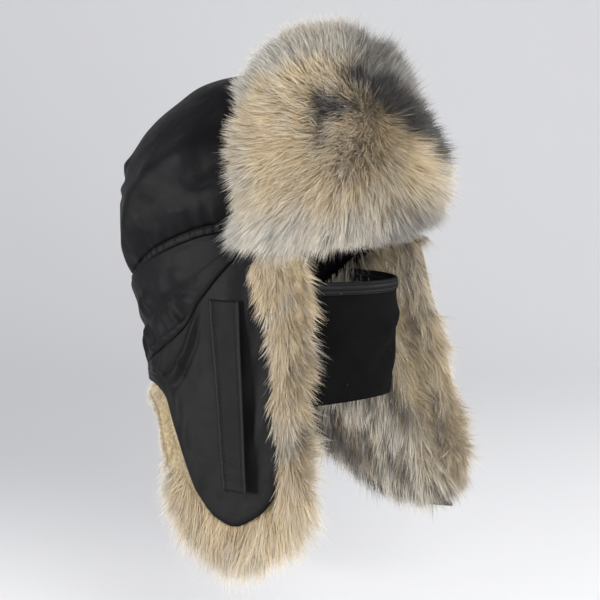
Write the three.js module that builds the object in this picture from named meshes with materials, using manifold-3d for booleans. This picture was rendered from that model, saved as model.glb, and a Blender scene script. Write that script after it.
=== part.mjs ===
// Winter trapper hat: padded crown, turned-up fur brim, two fur-lined ear flaps and a face mask, as worn.
// Millimetres. The origin is the inside top of the crown, where the head sits. +Z is up, the wearer
// faces -Y and the wearer's right is -X. A turn is an angle round the head from the front, in degrees,
// positive towards the left; a share runs from -1 at the front of a section to +1 at its back.
import * as THREE from 'three';
import { mergeVertices } from 'three/addons/utils/BufferGeometryUtils.js';
import Module from 'manifold-3d';

const wasm = await Module();
wasm.setup();

const GAP = 0.3; // clearance between neighbouring pieces

// Crown
const CROWN_HALF_WIDTH = 95;
const CROWN_BACK = 120;
const CROWN_BACK_SQUARE = 2.3; // how square the back of the crown is; 2 is an oval
const CROWN_FRONT = 92;
const CROWN_TOP = 20; // outside of the top above the head seat
const CROWN_HEIGHT = 153; // from the top to the seam at the back
const CROWN_WALL = 8; // padded wall
const CROWN_LIP = 8; // how far the puffed wall turns in at the seam
const CROWN_LIP_HEIGHT = 25;
const CROWN_EDGE_WALL = 3;
const CROWN_GATHERS = 24;
const CROWN_GATHER_DEPTH = 1.4;

// Seam band and lower band
const SEAM_BAND_HEIGHT = 7;
const SEAM_BAND_INSET = 6; // outside of the band inside the widest part of the crown
const SEAM_BAND_WALL = 4;
const SEAM_BAND_RIBS = 30;
const SEAM_BAND_RIB_DEPTH = 0.8;
const BAND_HALF_WIDTH = 90;
const BAND_BACK = 107;
const BAND_FRONT = 106;
const BAND_WALL = 3;
const BAND_END_TURN = 68; // where the lower band ends at each temple
const BAND_PUCKERS = 26;
const BAND_PUCKER_DEPTH = 1.6;
const ELASTIC_INSET = 2.4; // how far the elastic stitch line draws the cloth in
const ELASTIC_PLACE = 0.42; // share of the band's height, from its top

// Ear flaps
const FLAP_REACH = 302; // from the head seat down to the tip of a flap's shell
const FLAP_WALL = 2.5;
const FLAP_SEAM_GAP = 1.2; // between the hem of the lower band and the top of a flap
const FLAP_SWING = 190; // drop over which the splay of a flap is measured
const RIGHT_SPLAY_OUT = 0;
const RIGHT_SPLAY_FORWARD = 0;
const LEFT_SPLAY_OUT = 33;
const LEFT_SPLAY_FORWARD = 15;

// Fur
const FLAP_PILE = 25; // depth of the fur on the inside of a flap
const FLAP_FUR_PAST_TEMPLE = 31; // dense fur past the shell's front edge at its top, without the loose tips
const FLAP_FUR_PAST_FRONT = 14; // and further down
const LEFT_FUR_FULL = 1.3; // how much further the left fur stands past its front edge at the temple
const LEFT_FUR_CURL = 13; // how far the left fur turns outwards past its front edge
const FLAP_FUR_PAST_TIP = 16;
const FLAP_FUR_PAST_REAR = 16;
const FLAP_LOCK = 27;
const FUR_SEAT = 1.6; // between dense fur and the cloth it lines
const FUR_EDGE = 9; // thickness of the dense fur at its rim
const NAPE_TURN = 147; // where the fur behind the neck begins on each side
const NAPE_LINING = 40; // how far it reaches up inside the lower band
const NAPE_PILE = 11;
const NAPE_FUR_DROP = 8;
const NAPE_LOCK = 15;
const LOCK_WIDTH = 10.5;
const BRIM_PILE = 24;
const BRIM_LOCK = 24;
const BRIM_FUR_PAST = 8;

// Brim
const BRIM_TURN = 61;
const BRIM_TOP = 30; // top edge of the backing at its highest, above the head seat
const BRIM_FOOT_RISE = 10; // how much the foot rises at the ends
const BRIM_WALL = 2.5;

// Straps
const STRAP_WIDTH = 27;
const STRAP_END_WIDTH = 20;
const STRAP_WALL = 1.6;
const STRAP_TOP = 1.059; // share of the crown's height, below its top
const RIGHT_STRAP_LENGTH = 134;
const LEFT_STRAP_LENGTH = 187;
const STRAP_LIFT = 4; // how far the free front edge stands off the flap

// Mask
const MASK_HALF_WIDTH = 70;
const MASK_FRONT = 100;
const MASK_TOP = 0.98; // share of the crown's height, below its top
const MASK_HEIGHT = 86;
const MASK_SIDE_DROP = 10; // how much lower the mask reaches at its sides
const MASK_WALL = 1.8;
const MASK_TURN = 74;
const BINDING_HEIGHT = 9.5;
const BINDING_WALL = 3.2;
const BINDING_RIB = 0.7;

// Outline of the crown: share of its height from the top, share of its widest section.
const CROWN_PROFILE = [
  { down: 0, out: 0 },
  { down: 0.012, out: 0.2 },
  { down: 0.037, out: 0.36 },
  { down: 0.074, out: 0.48 },
  { down: 0.142, out: 0.595 },
  { down: 0.243, out: 0.745 },
  { down: 0.378, out: 0.875 },
  { down: 0.48, out: 0.945 },
  { down: 0.581, out: 0.995 },
  { down: 0.709, out: 1 },
  { down: 1, out: 0.985 },
];

// Seam under the crown and lower edge of the lower band by turn, as shares of the crown's height.
const EDGES = [
  { turn: 0, seam: 0.623, hem: 0.706 },
  { turn: 40, seam: 0.642, hem: 0.745 },
  { turn: 68, seam: 0.686, hem: 0.804 },
  { turn: 76, seam: 0.696, hem: 0.87 },
  { turn: 90, seam: 0.72, hem: 1.054 },
  { turn: 99, seam: 0.755, hem: 1.2 },
  { turn: 115, seam: 0.828, hem: 1.314 },
  { turn: 140, seam: 0.964, hem: 1.418 },
  { turn: 160, seam: 1.02, hem: 1.457 },
  { turn: 180, seam: 1.033, hem: 1.477 },
];

// Sections of the bands and flaps: share of the flap's reach, shares of the band's three sizes, and
// how square the section is in front and behind (2 is an oval).
const SECTIONS = [
  { down: 0.3, side: 0.985, back: 1.01, front: 1, square: 2, backSquare: 2.25 },
  { down: 0.46, side: 1, back: 1, front: 1.06, square: 2.2, backSquare: 2.2 },
  { down: 0.51, side: 1.002, back: 0.99, front: 1.08, square: 2.4, backSquare: 2.2 },
  { down: 0.54, side: 1.005, back: 0.965, front: 1.1, square: 2.6, backSquare: 2.2 },
  { down: 0.61, side: 1.015, back: 0.9, front: 1.13, square: 3, backSquare: 2.2 },
  { down: 0.7, side: 1.04, back: 0.85, front: 1.16, square: 3.5, backSquare: 2.2 },
  { down: 0.84, side: 1.075, back: 0.85, front: 1.18, square: 3.5, backSquare: 2.4 },
  { down: 1, side: 1.1, back: 0.85, front: 1.18, square: 3.5, backSquare: 2.6 },
  { down: 1.16, side: 1.11, back: 0.85, front: 1.18, square: 3.5, backSquare: 2.6 },
];

// Columns of a flap from its front edge to the nape: share where each starts at the seam, share and
// reach (as a share of the flap's reach) where it ends, and how far it bows forward between.
const FLAP_COLUMNS = [
  { place: 0, start: -0.377, end: -0.575, reach: 0.875, bow: 0.045 },
  { place: 0.1, start: -0.283, end: -0.5, reach: 0.941, bow: 0.035 },
  { place: 0.2, start: -0.17, end: -0.39, reach: 0.98, bow: 0.035 },
  { place: 0.3, start: -0.057, end: -0.265, reach: 1, bow: 0.02 },
  { place: 0.4, start: 0.056, end: -0.14, reach: 0.985, bow: 0.01 },
  { place: 0.5, start: 0.16, end: 0, reach: 0.93, bow: 0 },
  { place: 0.6, start: 0.265, end: 0.12, reach: 0.866, bow: 0 },
  { place: 0.7, start: 0.385, end: 0.235, reach: 0.79, bow: 0 },
  { place: 0.8, start: 0.51, end: 0.385, reach: 0.712, bow: 0 },
  { place: 0.9, start: 0.65, end: 0.6, reach: 0.69, bow: 0 },
  { place: 1, start: 0.8, end: 0.79, reach: 0.69, bow: 0 },
];

// Soft folds of the crown, from one place to another: turn, share of the height, width and height.
const CROWN_FOLDS = [
  { turn: -85, down: 0.27, toTurn: -100, toDown: 0.37, wide: 0.13, high: 3.2 },
  { turn: -100, down: 0.37, toTurn: -115, toDown: 0.49, wide: 0.13, high: 3.4 },
  { turn: -115, down: 0.49, toTurn: -125, toDown: 0.66, wide: 0.13, high: 3 },
  { turn: -125, down: 0.66, toTurn: -133, toDown: 0.86, wide: 0.13, high: 2.4 },
  { turn: -92, down: 0.48, toTurn: -112, toDown: 0.62, wide: 0.14, high: -2.4 },
  { turn: -150, down: 0.56, toTurn: -172, toDown: 0.6, wide: 0.08, high: -3.4 },
  { turn: -148, down: 0.46, toTurn: -176, toDown: 0.5, wide: 0.1, high: 2 },
  { turn: 88, down: 0.3, toTurn: 112, toDown: 0.42, wide: 0.14, high: 3 },
  { turn: 112, down: 0.42, toTurn: 128, toDown: 0.72, wide: 0.14, high: 2.6 },
  { turn: 92, down: 0.52, toTurn: 110, toDown: 0.66, wide: 0.14, high: -2.2 },
  { turn: 150, down: 0.6, toTurn: 170, toDown: 0.56, wide: 0.1, high: -2.4 },
];

// Soft folds of a flap's shell: place along the seam, share of the drop, width and height.
const FLAP_FOLDS = [
  { place: 0.48, drop: 0.12, toPlace: 0.75, toDrop: 0.75, wide: 0.09, high: 1.8 },
  { place: 0.52, drop: 0.1, toPlace: 0.62, toDrop: 0.8, wide: 0.08, high: -1.6 },
  { place: 0.08, drop: 0.2, toPlace: 0.16, toDrop: 0.8, wide: 0.1, high: -1.5 },
];

// Diagonal folds of the mask: turn, share of the height, width and height.
const MASK_FOLDS = [
  { turn: 40, down: 0.25, toTurn: -8, toDown: 0.6, wide: 0.13, high: 1.8 },
  { turn: 46, down: 0.5, toTurn: 4, toDown: 0.86, wide: 0.13, high: 1.8 },
  { turn: -44, down: 0.3, toTurn: -14, toDown: 0.7, wide: 0.14, high: 1.4 },
  { turn: 22, down: 0.46, toTurn: -16, toDown: 0.82, wide: 0.12, high: -1.8 },
];

// Brim from its foot to its top edge: share of its height, distance outside the crown's widest section.
const BRIM_PROFILE = [
  { up: 0, out: -5.5 },
  { up: 0.1, out: 1.2 },
  { up: 0.25, out: 3.2 },
  { up: 0.5, out: 2.5 },
  { up: 0.75, out: -3 },
  { up: 1, out: -9 },
];

// Top edge of the brim by turn: how much lower it is than at its highest, over the right eye.
const BRIM_DROPS = [
  { turn: -61, drop: 36 },
  { turn: -52, drop: 13 },
  { turn: -40, drop: 2 },
  { turn: -30, drop: 0 },
  { turn: -18, drop: 3 },
  { turn: -4, drop: 13 },
  { turn: 12, drop: 25 },
  { turn: 30, drop: 34 },
  { turn: 48, drop: 37 },
  { turn: 61, drop: 48 },
];

const point = (x, y, z) => new THREE.Vector3(x, y, z);
const clamp = (value, low, high) => Math.min(high, Math.max(low, value));
const mix = (a, b, t) => a + (b - a) * t;
const smooth = (t) => THREE.MathUtils.smoothstep(t, 0, 1);
const radians = THREE.MathUtils.degToRad;

// A column of a table read at a place along another column, on a smooth line that never overshoots.
function read(table, key, column, at) {
  const last = table.length - 1;
  if (at <= table[0][key]) return table[0][column];
  if (at >= table[last][key]) return table[last][column];
  let i = 0;
  while (at > table[i + 1][key]) i++;
  const slope = (k) => (table[k + 1][column] - table[k][column]) / (table[k + 1][key] - table[k][key]);
  const tangent = (k) => {
    if (k === 0) return slope(0);
    if (k === last) return slope(last - 1);
    const before = slope(k - 1);
    const after = slope(k);
    return before * after <= 0 ? 0 : (2 * before * after) / (before + after);
  };
  const width = table[i + 1][key] - table[i][key];
  const t = (at - table[i][key]) / width;
  const rise = t * t * (3 - 2 * t);
  return (
    mix(table[i][column], table[i + 1][column], rise) +
    width * t * (1 - t) * ((1 - t) * tangent(i) - t * tangent(i + 1))
  );
}

// Height of the listed folds at a place (a, b) of a surface; each is a soft ridge or dent along a line.
function foldHeight(folds, first, second, a, b) {
  let height = 0;
  for (const fold of folds) {
    const start = [first(fold, false), second(fold, false)];
    const along = [first(fold, true) - start[0], second(fold, true) - start[1]];
    const length = along[0] ** 2 + along[1] ** 2;
    const t = clamp(((a - start[0]) * along[0] + (b - start[1]) * along[1]) / length, 0, 1);
    const away = Math.hypot(a - start[0] - t * along[0], b - start[1] - t * along[1]);
    height += fold.high * Math.exp(-((away / fold.wide) ** 2));
  }
  return height;
}

// A point of a section: share -1 at its front to +1 at its back, hand -1 on the right and +1 on the left.
function sectionPoint(share, hand, half, front, back, square, z) {
  const s = clamp(share, -1, 1);
  const across = Math.pow(Math.max(0, 1 - Math.pow(Math.abs(s), square)), 1 / square);
  return point(hand * half * across, s * (s < 0 ? front : back), z);
}

const turnShare = (turn) => -Math.cos(radians(turn));
const turnHand = (turn) => (Math.sin(radians(turn)) < 0 ? -1 : 1);
const wrapTurn = (turn) => (((turn % 360) + 540) % 360) - 180;

// Seam and hem heights by turn.
const belowTop = (share) => CROWN_TOP - CROWN_HEIGHT * share;
const edgeZ = (turn, column) => belowTop(read(EDGES, 'turn', column, Math.abs(wrapTurn(turn))));
const seamZ = (turn) => edgeZ(turn, 'seam');
const hemZ = (turn) => edgeZ(turn, 'hem');
const hemAtShare = (share) => hemZ(THREE.MathUtils.radToDeg(Math.acos(clamp(-share, -1, 1))));

// Outside of the crown at a turn and share of the way from the top down to the seam, moved by off.
function crownPoint(turn, way, off, lip, thin) {
  const z = mix(CROWN_TOP, seamZ(turn), way);
  const down = (CROWN_TOP - z) / CROWN_HEIGHT;
  const out = read(CROWN_PROFILE, 'down', 'out', down);
  const above = z - seamZ(turn);
  const turned = Math.max(0, 1 - above / CROWN_LIP_HEIGHT) ** 2;
  const bare = smooth((Math.abs(wrapTurn(turn)) - 66) / 16);
  const ease = Math.min(1, out * 1.4);
  const folds = foldHeight(
    CROWN_FOLDS,
    (f, end) => radians(end ? f.toTurn : f.turn),
    (f, end) => 1.3 * (end ? f.toDown : f.down),
    radians(wrapTurn(turn)),
    1.3 * down,
  );
  const gather =
    CROWN_GATHER_DEPTH * Math.cos(radians(turn) * CROWN_GATHERS) * Math.max(0, 1 - above / (2 * CROWN_LIP_HEIGHT));
  const radial = off * ease - lip * turned + thin * (bare * ease * (folds + gather) - 1.2 * (1 - bare));
  return sectionPoint(
    turnShare(turn),
    turnHand(turn),
    CROWN_HALF_WIDTH * out + radial,
    CROWN_FRONT * out + radial,
    CROWN_BACK * out + radial,
    turnShare(turn) < 0 ? 2 : CROWN_BACK_SQUARE,
    z,
  );
}

// Ring under the crown's overhang, moved outwards by off, at a height z.
function seamRing(turn, off, z) {
  const out = read(CROWN_PROFILE, 'down', 'out', (CROWN_TOP - seamZ(turn)) / CROWN_HEIGHT);
  const inset = off - SEAM_BAND_INSET;
  return sectionPoint(
    turnShare(turn),
    turnHand(turn),
    CROWN_HALF_WIDTH * out + inset,
    CROWN_FRONT * out + inset,
    CROWN_BACK * out + inset,
    turnShare(turn) < 0 ? 2 : CROWN_BACK_SQUARE,
    z,
  );
}

// Outside of the bands and flaps at a share, hand and height, moved outwards by off.
function bodyPoint(share, hand, z, off) {
  const down = -z / FLAP_REACH;
  const size = (column) => read(SECTIONS, 'down', column, down);
  return sectionPoint(
    share,
    hand,
    BAND_HALF_WIDTH * size('side') + off,
    BAND_FRONT * size('front') + off,
    BAND_BACK * size('back') + off,
    size(share < 0 ? 'square' : 'backSquare'),
    z,
  );
}

const bandTopZ = (turn) => seamZ(turn) - GAP - SEAM_BAND_HEIGHT - GAP;

// Outside of the lower band at a turn and share of the way down.
function bandPoint(turn, way, off, detail) {
  const z = mix(bandTopZ(turn), hemZ(turn), way);
  const low = bodyPoint(turnShare(turn), turnHand(turn), z, off);
  const high = seamRing(turn, off - 0.5, z);
  const p = high.lerp(low, smooth(way / 0.3));
  const elastic = smooth((Math.abs(wrapTurn(turn)) - 84) / 22);
  const from = Math.abs(way - ELASTIC_PLACE);
  const drawn = -ELASTIC_INSET * elastic * Math.exp(-((from / 0.09) ** 2));
  const puff = way < ELASTIC_PLACE ? way / ELASTIC_PLACE : (1 - way) / (1 - ELASTIC_PLACE);
  const pucker =
    BAND_PUCKER_DEPTH * elastic * Math.sin(Math.PI * clamp(puff, 0, 1)) * Math.cos(radians(turn) * BAND_PUCKERS);
  const out = point(p.x / BAND_HALF_WIDTH, p.y / BAND_BACK, 0).normalize();
  return p.addScaledVector(out, detail * (drawn + pucker));
}

// Outside of a flap, without folds: share, height and outward move, swung by the flap's splay.
function flapAt(hand, share, z, off) {
  const p = bodyPoint(clamp(share, -0.98, 0.98), hand, z, off);
  const swing = Math.max(0, (hemAtShare(share) - z) / FLAP_SWING);
  p.x += hand * (hand < 0 ? RIGHT_SPLAY_OUT : LEFT_SPLAY_OUT) * swing ** 2;
  p.y -= (hand < 0 ? RIGHT_SPLAY_FORWARD : LEFT_SPLAY_FORWARD) * swing ** 1.5;
  return p;
}

// Share and height on a flap at a place along its seam and a share of the drop.
function flapPlace(place, drop) {
  const column = (name) => read(FLAP_COLUMNS, 'place', name, place);
  const start = column('start');
  const top = hemAtShare(start) - FLAP_SEAM_GAP;
  const end = -FLAP_REACH * column('reach');
  const share = mix(start, column('end'), drop) - column('bow') * 4 * drop * (1 - drop);
  return { share, z: mix(top, end, drop) };
}

function flapPoint(hand, place, drop, off, detail) {
  const at = flapPlace(place, drop);
  const folds = foldHeight(
    FLAP_FOLDS,
    (f, end) => (end ? f.toPlace : f.place),
    (f, end) => 0.5 * (end ? f.toDrop : f.drop),
    place,
    0.5 * drop,
  );
  const edge = smooth(drop / 0.12);
  return flapAt(hand, at.share, at.z, off + detail * folds * edge);
}

// Fur of a flap: the shell's places pushed past its front, tip and rear edges.
function flapFurPoint(hand, place, drop, off, past) {
  const at = flapPlace(place, drop);
  const temple = FLAP_FUR_PAST_TEMPLE * (hand < 0 ? 1 : LEFT_FUR_FULL);
  const front = Math.max(0, 1 - place / 0.34) * mix(temple, FLAP_FUR_PAST_FRONT, smooth(drop / 0.7));
  const curl = (hand < 0 ? 0 : LEFT_FUR_CURL) * Math.max(0, 1 - place / 0.13) * (1 - drop ** 3);
  const rear = smooth((place - 0.35) / 0.3) * drop ** 2;
  const tip = drop ** 4 * (1 - 0.6 * Math.abs(place - 0.3));
  const share =
    at.share -
    (past * front) / (BAND_FRONT * 1.15) +
    (past * FLAP_FUR_PAST_REAR * rear) / BAND_BACK;
  return flapAt(hand, share, at.z - past * FLAP_FUR_PAST_TIP * tip, off + past * curl);
}

// Brim backing at a turn and share of its height.
function brimPoint(turn, up, off, past) {
  const t = Math.abs(turn) / BRIM_TURN;
  const foot = seamZ(turn) - SEAM_BAND_HEIGHT + BRIM_FOOT_RISE * t ** 4 - past;
  const top = BRIM_TOP - read(BRIM_DROPS, 'turn', 'drop', turn) + past;
  const z = mix(foot, top, up);
  const out = read(BRIM_PROFILE, 'up', 'out', up) + off;
  return sectionPoint(
    turnShare(turn),
    turnHand(turn),
    CROWN_HALF_WIDTH + out,
    CROWN_FRONT + out,
    CROWN_BACK + out,
    2,
    z,
  );
}

// Closed solid between two surfaces read over a grid; wrap joins the last column to the first, and
// only a wrapped solid can have fewer rows inside than outside.
function solidBetween(columns, rows, wrap, outer, inner, innerRows = rows) {
  const across = wrap ? columns : columns + 1;
  const positions = [];
  const faces = [];
  for (const [surface, count] of [[outer, rows], [inner, innerRows]])
    for (let i = 0; i < across; i++)
      for (let j = 0; j <= count; j++) positions.push(...surface(i / columns, j / count).toArray());
  const out = (i, j) => (i % across) * (rows + 1) + j;
  const into = (i, j) => across * (rows + 1) + (i % across) * (innerRows + 1) + j;
  const quad = (a, b, c, d) => faces.push(a, b, c, a, c, d);
  for (let i = 0; i < columns; i++) {
    for (let j = 0; j < rows; j++) quad(out(i, j), out(i, j + 1), out(i + 1, j + 1), out(i + 1, j));
    for (let j = 0; j < innerRows; j++) quad(into(i, j), into(i + 1, j), into(i + 1, j + 1), into(i, j + 1));
    quad(out(i, 0), out(i + 1, 0), into(i + 1, 0), into(i, 0));
    quad(out(i, rows), into(i, innerRows), into(i + 1, innerRows), out(i + 1, rows));
  }
  if (!wrap)
    for (let j = 0; j < rows; j++) {
      quad(out(0, j), into(0, j), into(0, j + 1), out(0, j + 1));
      quad(out(columns, j), out(columns, j + 1), into(columns, j + 1), into(columns, j));
    }
  return geometryFrom(positions, faces);
}

// Welded geometry without collapsed faces, facing out.
function geometryFrom(positions, faces) {
  const raw = new THREE.BufferGeometry();
  raw.setAttribute('position', new THREE.Float32BufferAttribute(positions, 3));
  raw.setIndex(faces);
  const welded = mergeVertices(raw, 1e-3);
  const index = welded.index.array;
  const kept = [];
  for (let i = 0; i < index.length; i += 3) {
    const [a, b, c] = [index[i], index[i + 1], index[i + 2]];
    if (a !== b && b !== c && a !== c) kept.push(a, b, c);
  }
  const place = welded.attributes.position;
  const [p, q, r] = [point(0, 0, 0), point(0, 0, 0), point(0, 0, 0)];
  let volume = 0;
  for (let i = 0; i < kept.length; i += 3) {
    p.fromBufferAttribute(place, kept[i]);
    q.fromBufferAttribute(place, kept[i + 1]);
    r.fromBufferAttribute(place, kept[i + 2]);
    volume += p.dot(q.cross(r));
  }
  if (volume < 0) for (let i = 0; i < kept.length; i += 3) [kept[i + 1], kept[i + 2]] = [kept[i + 2], kept[i + 1]];
  welded.setIndex(kept);
  return welded;
}

function toSolid(geometry) {
  return new wasm.Manifold(
    new wasm.Mesh({
      numProp: 3,
      vertProperties: new Float32Array(geometry.attributes.position.array),
      triVerts: new Uint32Array(geometry.index.array),
    }),
  );
}

function fromSolid(solid) {
  const mesh = solid.getMesh();
  const positions = [];
  for (let i = 0; i < mesh.numVert; i++)
    positions.push(...mesh.vertProperties.subarray(i * mesh.numProp, i * mesh.numProp + 3));
  return geometryFrom(positions, [...mesh.triVerts]);
}

const largest = (solid) => solid.decompose().reduce((a, b) => (b.volume() > a.volume() ? b : a));

// One lock of hair: a three-sided spike from its root, leaning towards bend at its tip.
function lock(root, direction, bend, length, width) {
  const way = direction.clone().normalize();
  const side = point(0, 0, 1).cross(way);
  if (side.length() < 0.2) side.set(1, 0, 0).cross(way);
  side.normalize();
  const up = way.clone().cross(side).normalize();
  const positions = [];
  const ring = (centre, size) => {
    for (let k = 0; k < 3; k++) {
      const angle = radians(90 + 120 * k);
      const p = centre
        .clone()
        .addScaledVector(side, Math.cos(angle) * size)
        .addScaledVector(up, Math.sin(angle) * size * 0.75);
      positions.push(...p.toArray());
    }
  };
  ring(root.clone().addScaledVector(way, -0.22 * length), width * 0.5);
  ring(root.clone().addScaledVector(way, 0.45 * length), width * 0.42);
  const tip = root.clone().addScaledVector(way, 0.8 * length).addScaledVector(bend, 0.3 * length);
  positions.push(...tip.toArray());
  const faces = [0, 2, 1];
  for (let k = 0; k < 3; k++) {
    const n = (k + 1) % 3;
    faces.push(k, n, 3 + n, k, 3 + n, 3 + k, 3 + k, 3 + n, 6);
  }
  return toSolid(geometryFrom(positions, faces));
}

// Even scatter between -1 and 1 that depends only on the two numbers given.
function scatter(a, b) {
  const value = Math.sin(a * 12.9898 + b * 78.233) * 43758.5453;
  return 2 * (value - Math.floor(value)) - 1;
}

// Dense fur with its locks fused on, cut clear of the neighbours given, kept as its one largest body.
function furSolid(dense, locks, neighbours, within) {
  let solid = toSolid(dense);
  for (const one of locks) solid = solid.add(one);
  if (within) solid = solid.intersect(toSolid(within));
  for (const neighbour of neighbours) solid = solid.subtract(toSolid(neighbour));
  return fromSolid(largest(solid));
}

// Each thin piece can be built grown by a clearance, which is how fur is cut clear of it.
const bandTurn = (u) => mix(BAND_END_TURN, 360 - BAND_END_TURN, u);

const crown = (grow) =>
  solidBetween(
    44,
    10,
    true,
    (u, v) => crownPoint(360 * u, v ** 1.4, grow, CROWN_LIP, 1).add(point(0, 0, v === 0 ? grow : v === 1 ? -grow : 0)),
    (u, v) => {
      const p = crownPoint(360 * u, v ** 1.4, -CROWN_WALL - grow, CROWN_LIP + CROWN_EDGE_WALL - CROWN_WALL, 0.4);
      const seam = seamZ(360 * u);
      p.z = seam - (v === 1 ? grow : 0) + ((p.z - seam) * -seam) / (CROWN_TOP - seam);
      return p;
    },
    5,
  );

const seamBand = (grow) =>
  solidBetween(
    SEAM_BAND_RIBS * 2,
    1,
    true,
    (u, v) => {
      const rib = (Math.round(u * SEAM_BAND_RIBS * 2) % 2) * SEAM_BAND_RIB_DEPTH;
      return seamRing(360 * u, grow - rib, seamZ(360 * u) - GAP - SEAM_BAND_HEIGHT * v + grow * (1 - 2 * v));
    },
    (u, v) =>
      seamRing(360 * u, -SEAM_BAND_WALL - grow, seamZ(360 * u) - GAP - SEAM_BAND_HEIGHT * v + grow * (1 - 2 * v)),
  );

const lowerBand = (grow) =>
  solidBetween(
    52,
    4,
    false,
    (u, v) => bandPoint(bandTurn(u), v, grow, 1).add(point(0, 0, grow * (1 - 2 * v))),
    (u, v) => bandPoint(bandTurn(u), v, -BAND_WALL - grow, 1).add(point(0, 0, grow * (1 - 2 * v))),
  );

const flapShell = (hand, grow) => {
  const at = (off) => (u, v) =>
    flapPoint(hand, u, v, off, 1).add(
      point(0, (u === 0 ? -1 : 0) * grow, (v === 0 ? 1 : v === 1 ? -1 : 0) * grow),
    );
  return solidBetween(12, 7, false, at(grow), at(-FLAP_WALL - grow));
};

const brimBacking = (grow) =>
  solidBetween(
    18,
    4,
    false,
    (u, v) => brimPoint(mix(-BRIM_TURN, BRIM_TURN, u) * (1 + grow / 120), v, BRIM_WALL + grow, grow),
    (u, v) => brimPoint(mix(-BRIM_TURN, BRIM_TURN, u) * (1 + grow / 120), v, -grow, grow),
  );

const strap = (hand, length, grow) => {
  const at = (off) => (u, v) => {
    const z = belowTop(STRAP_TOP) - length * v + grow * (1 - 2 * v);
    const middle = mix(-0.175, -0.335, (v * length) / FLAP_SWING);
    const width = mix(STRAP_WIDTH, STRAP_END_WIDTH, v) + 2 * grow;
    const share = middle + ((0.5 - u) * width) / (BAND_FRONT * 1.15);
    const free = smooth((v - 0.04) / 0.3);
    const lift = mix(0.15, 1.2, smooth(v / 0.12)) + free * (STRAP_LIFT * u ** 2 + 0.8 * Math.sin(4.2 * v + 1) ** 2);
    return flapAt(hand, share, z, GAP + lift + off);
  };
  return solidBetween(3, 8, false, at(STRAP_WALL + grow), at(-grow));
};

// Outside of the mask at a turn and share of its height.
function maskPoint(turn, down, off, detail) {
  const t = turn / MASK_TURN;
  const height = MASK_HEIGHT + MASK_SIDE_DROP * t ** 2;
  const z = belowTop(MASK_TOP) - height * down;
  const low = smooth((down - 0.25) / 0.75);
  const folds = foldHeight(
    MASK_FOLDS,
    (f, end) => radians(end ? f.toTurn : f.turn),
    (f, end) => end ? f.toDown : f.down,
    radians(turn),
    down,
  );
  const still = smooth(down / 0.2) * (1 - t ** 4);
  const radial = off + detail * folds * still;
  return sectionPoint(
    turnShare(turn),
    turnHand(turn),
    MASK_HALF_WIDTH + radial,
    MASK_FRONT - 6 * low * (1 - t ** 2) + radial,
    MASK_FRONT,
    2,
    z,
  );
}

const bindingShare = (BINDING_HEIGHT + GAP) / MASK_HEIGHT;
const maskTurn = (u) => mix(-MASK_TURN, MASK_TURN, u);

const faceMask = (grow) => {
  const at = (off) => (u, v) =>
    maskPoint(maskTurn(u) * (1 + grow / 80), mix(bindingShare, 1, v), off, 1).add(point(0, 0, grow * (1 - 2 * v)));
  return solidBetween(22, 5, false, at(grow), at(-MASK_WALL - grow));
};

const maskBinding = (grow) => {
  const outer = (u, v) => {
    const p = maskPoint(maskTurn(u) * (1 + grow / 80), 0, 0.7 + grow + (Math.round(v * 4) % 2) * BINDING_RIB, 0);
    p.z -= BINDING_HEIGHT * v - grow * (1 - 2 * v);
    return p;
  };
  const inner = (u, v) => {
    const p = maskPoint(maskTurn(u) * (1 + grow / 80), 0, 0.7 - BINDING_WALL - grow, 0);
    p.z -= BINDING_HEIGHT * v - grow * (1 - 2 * v);
    return p;
  };
  return solidBetween(22, 4, false, outer, inner);
};

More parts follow.
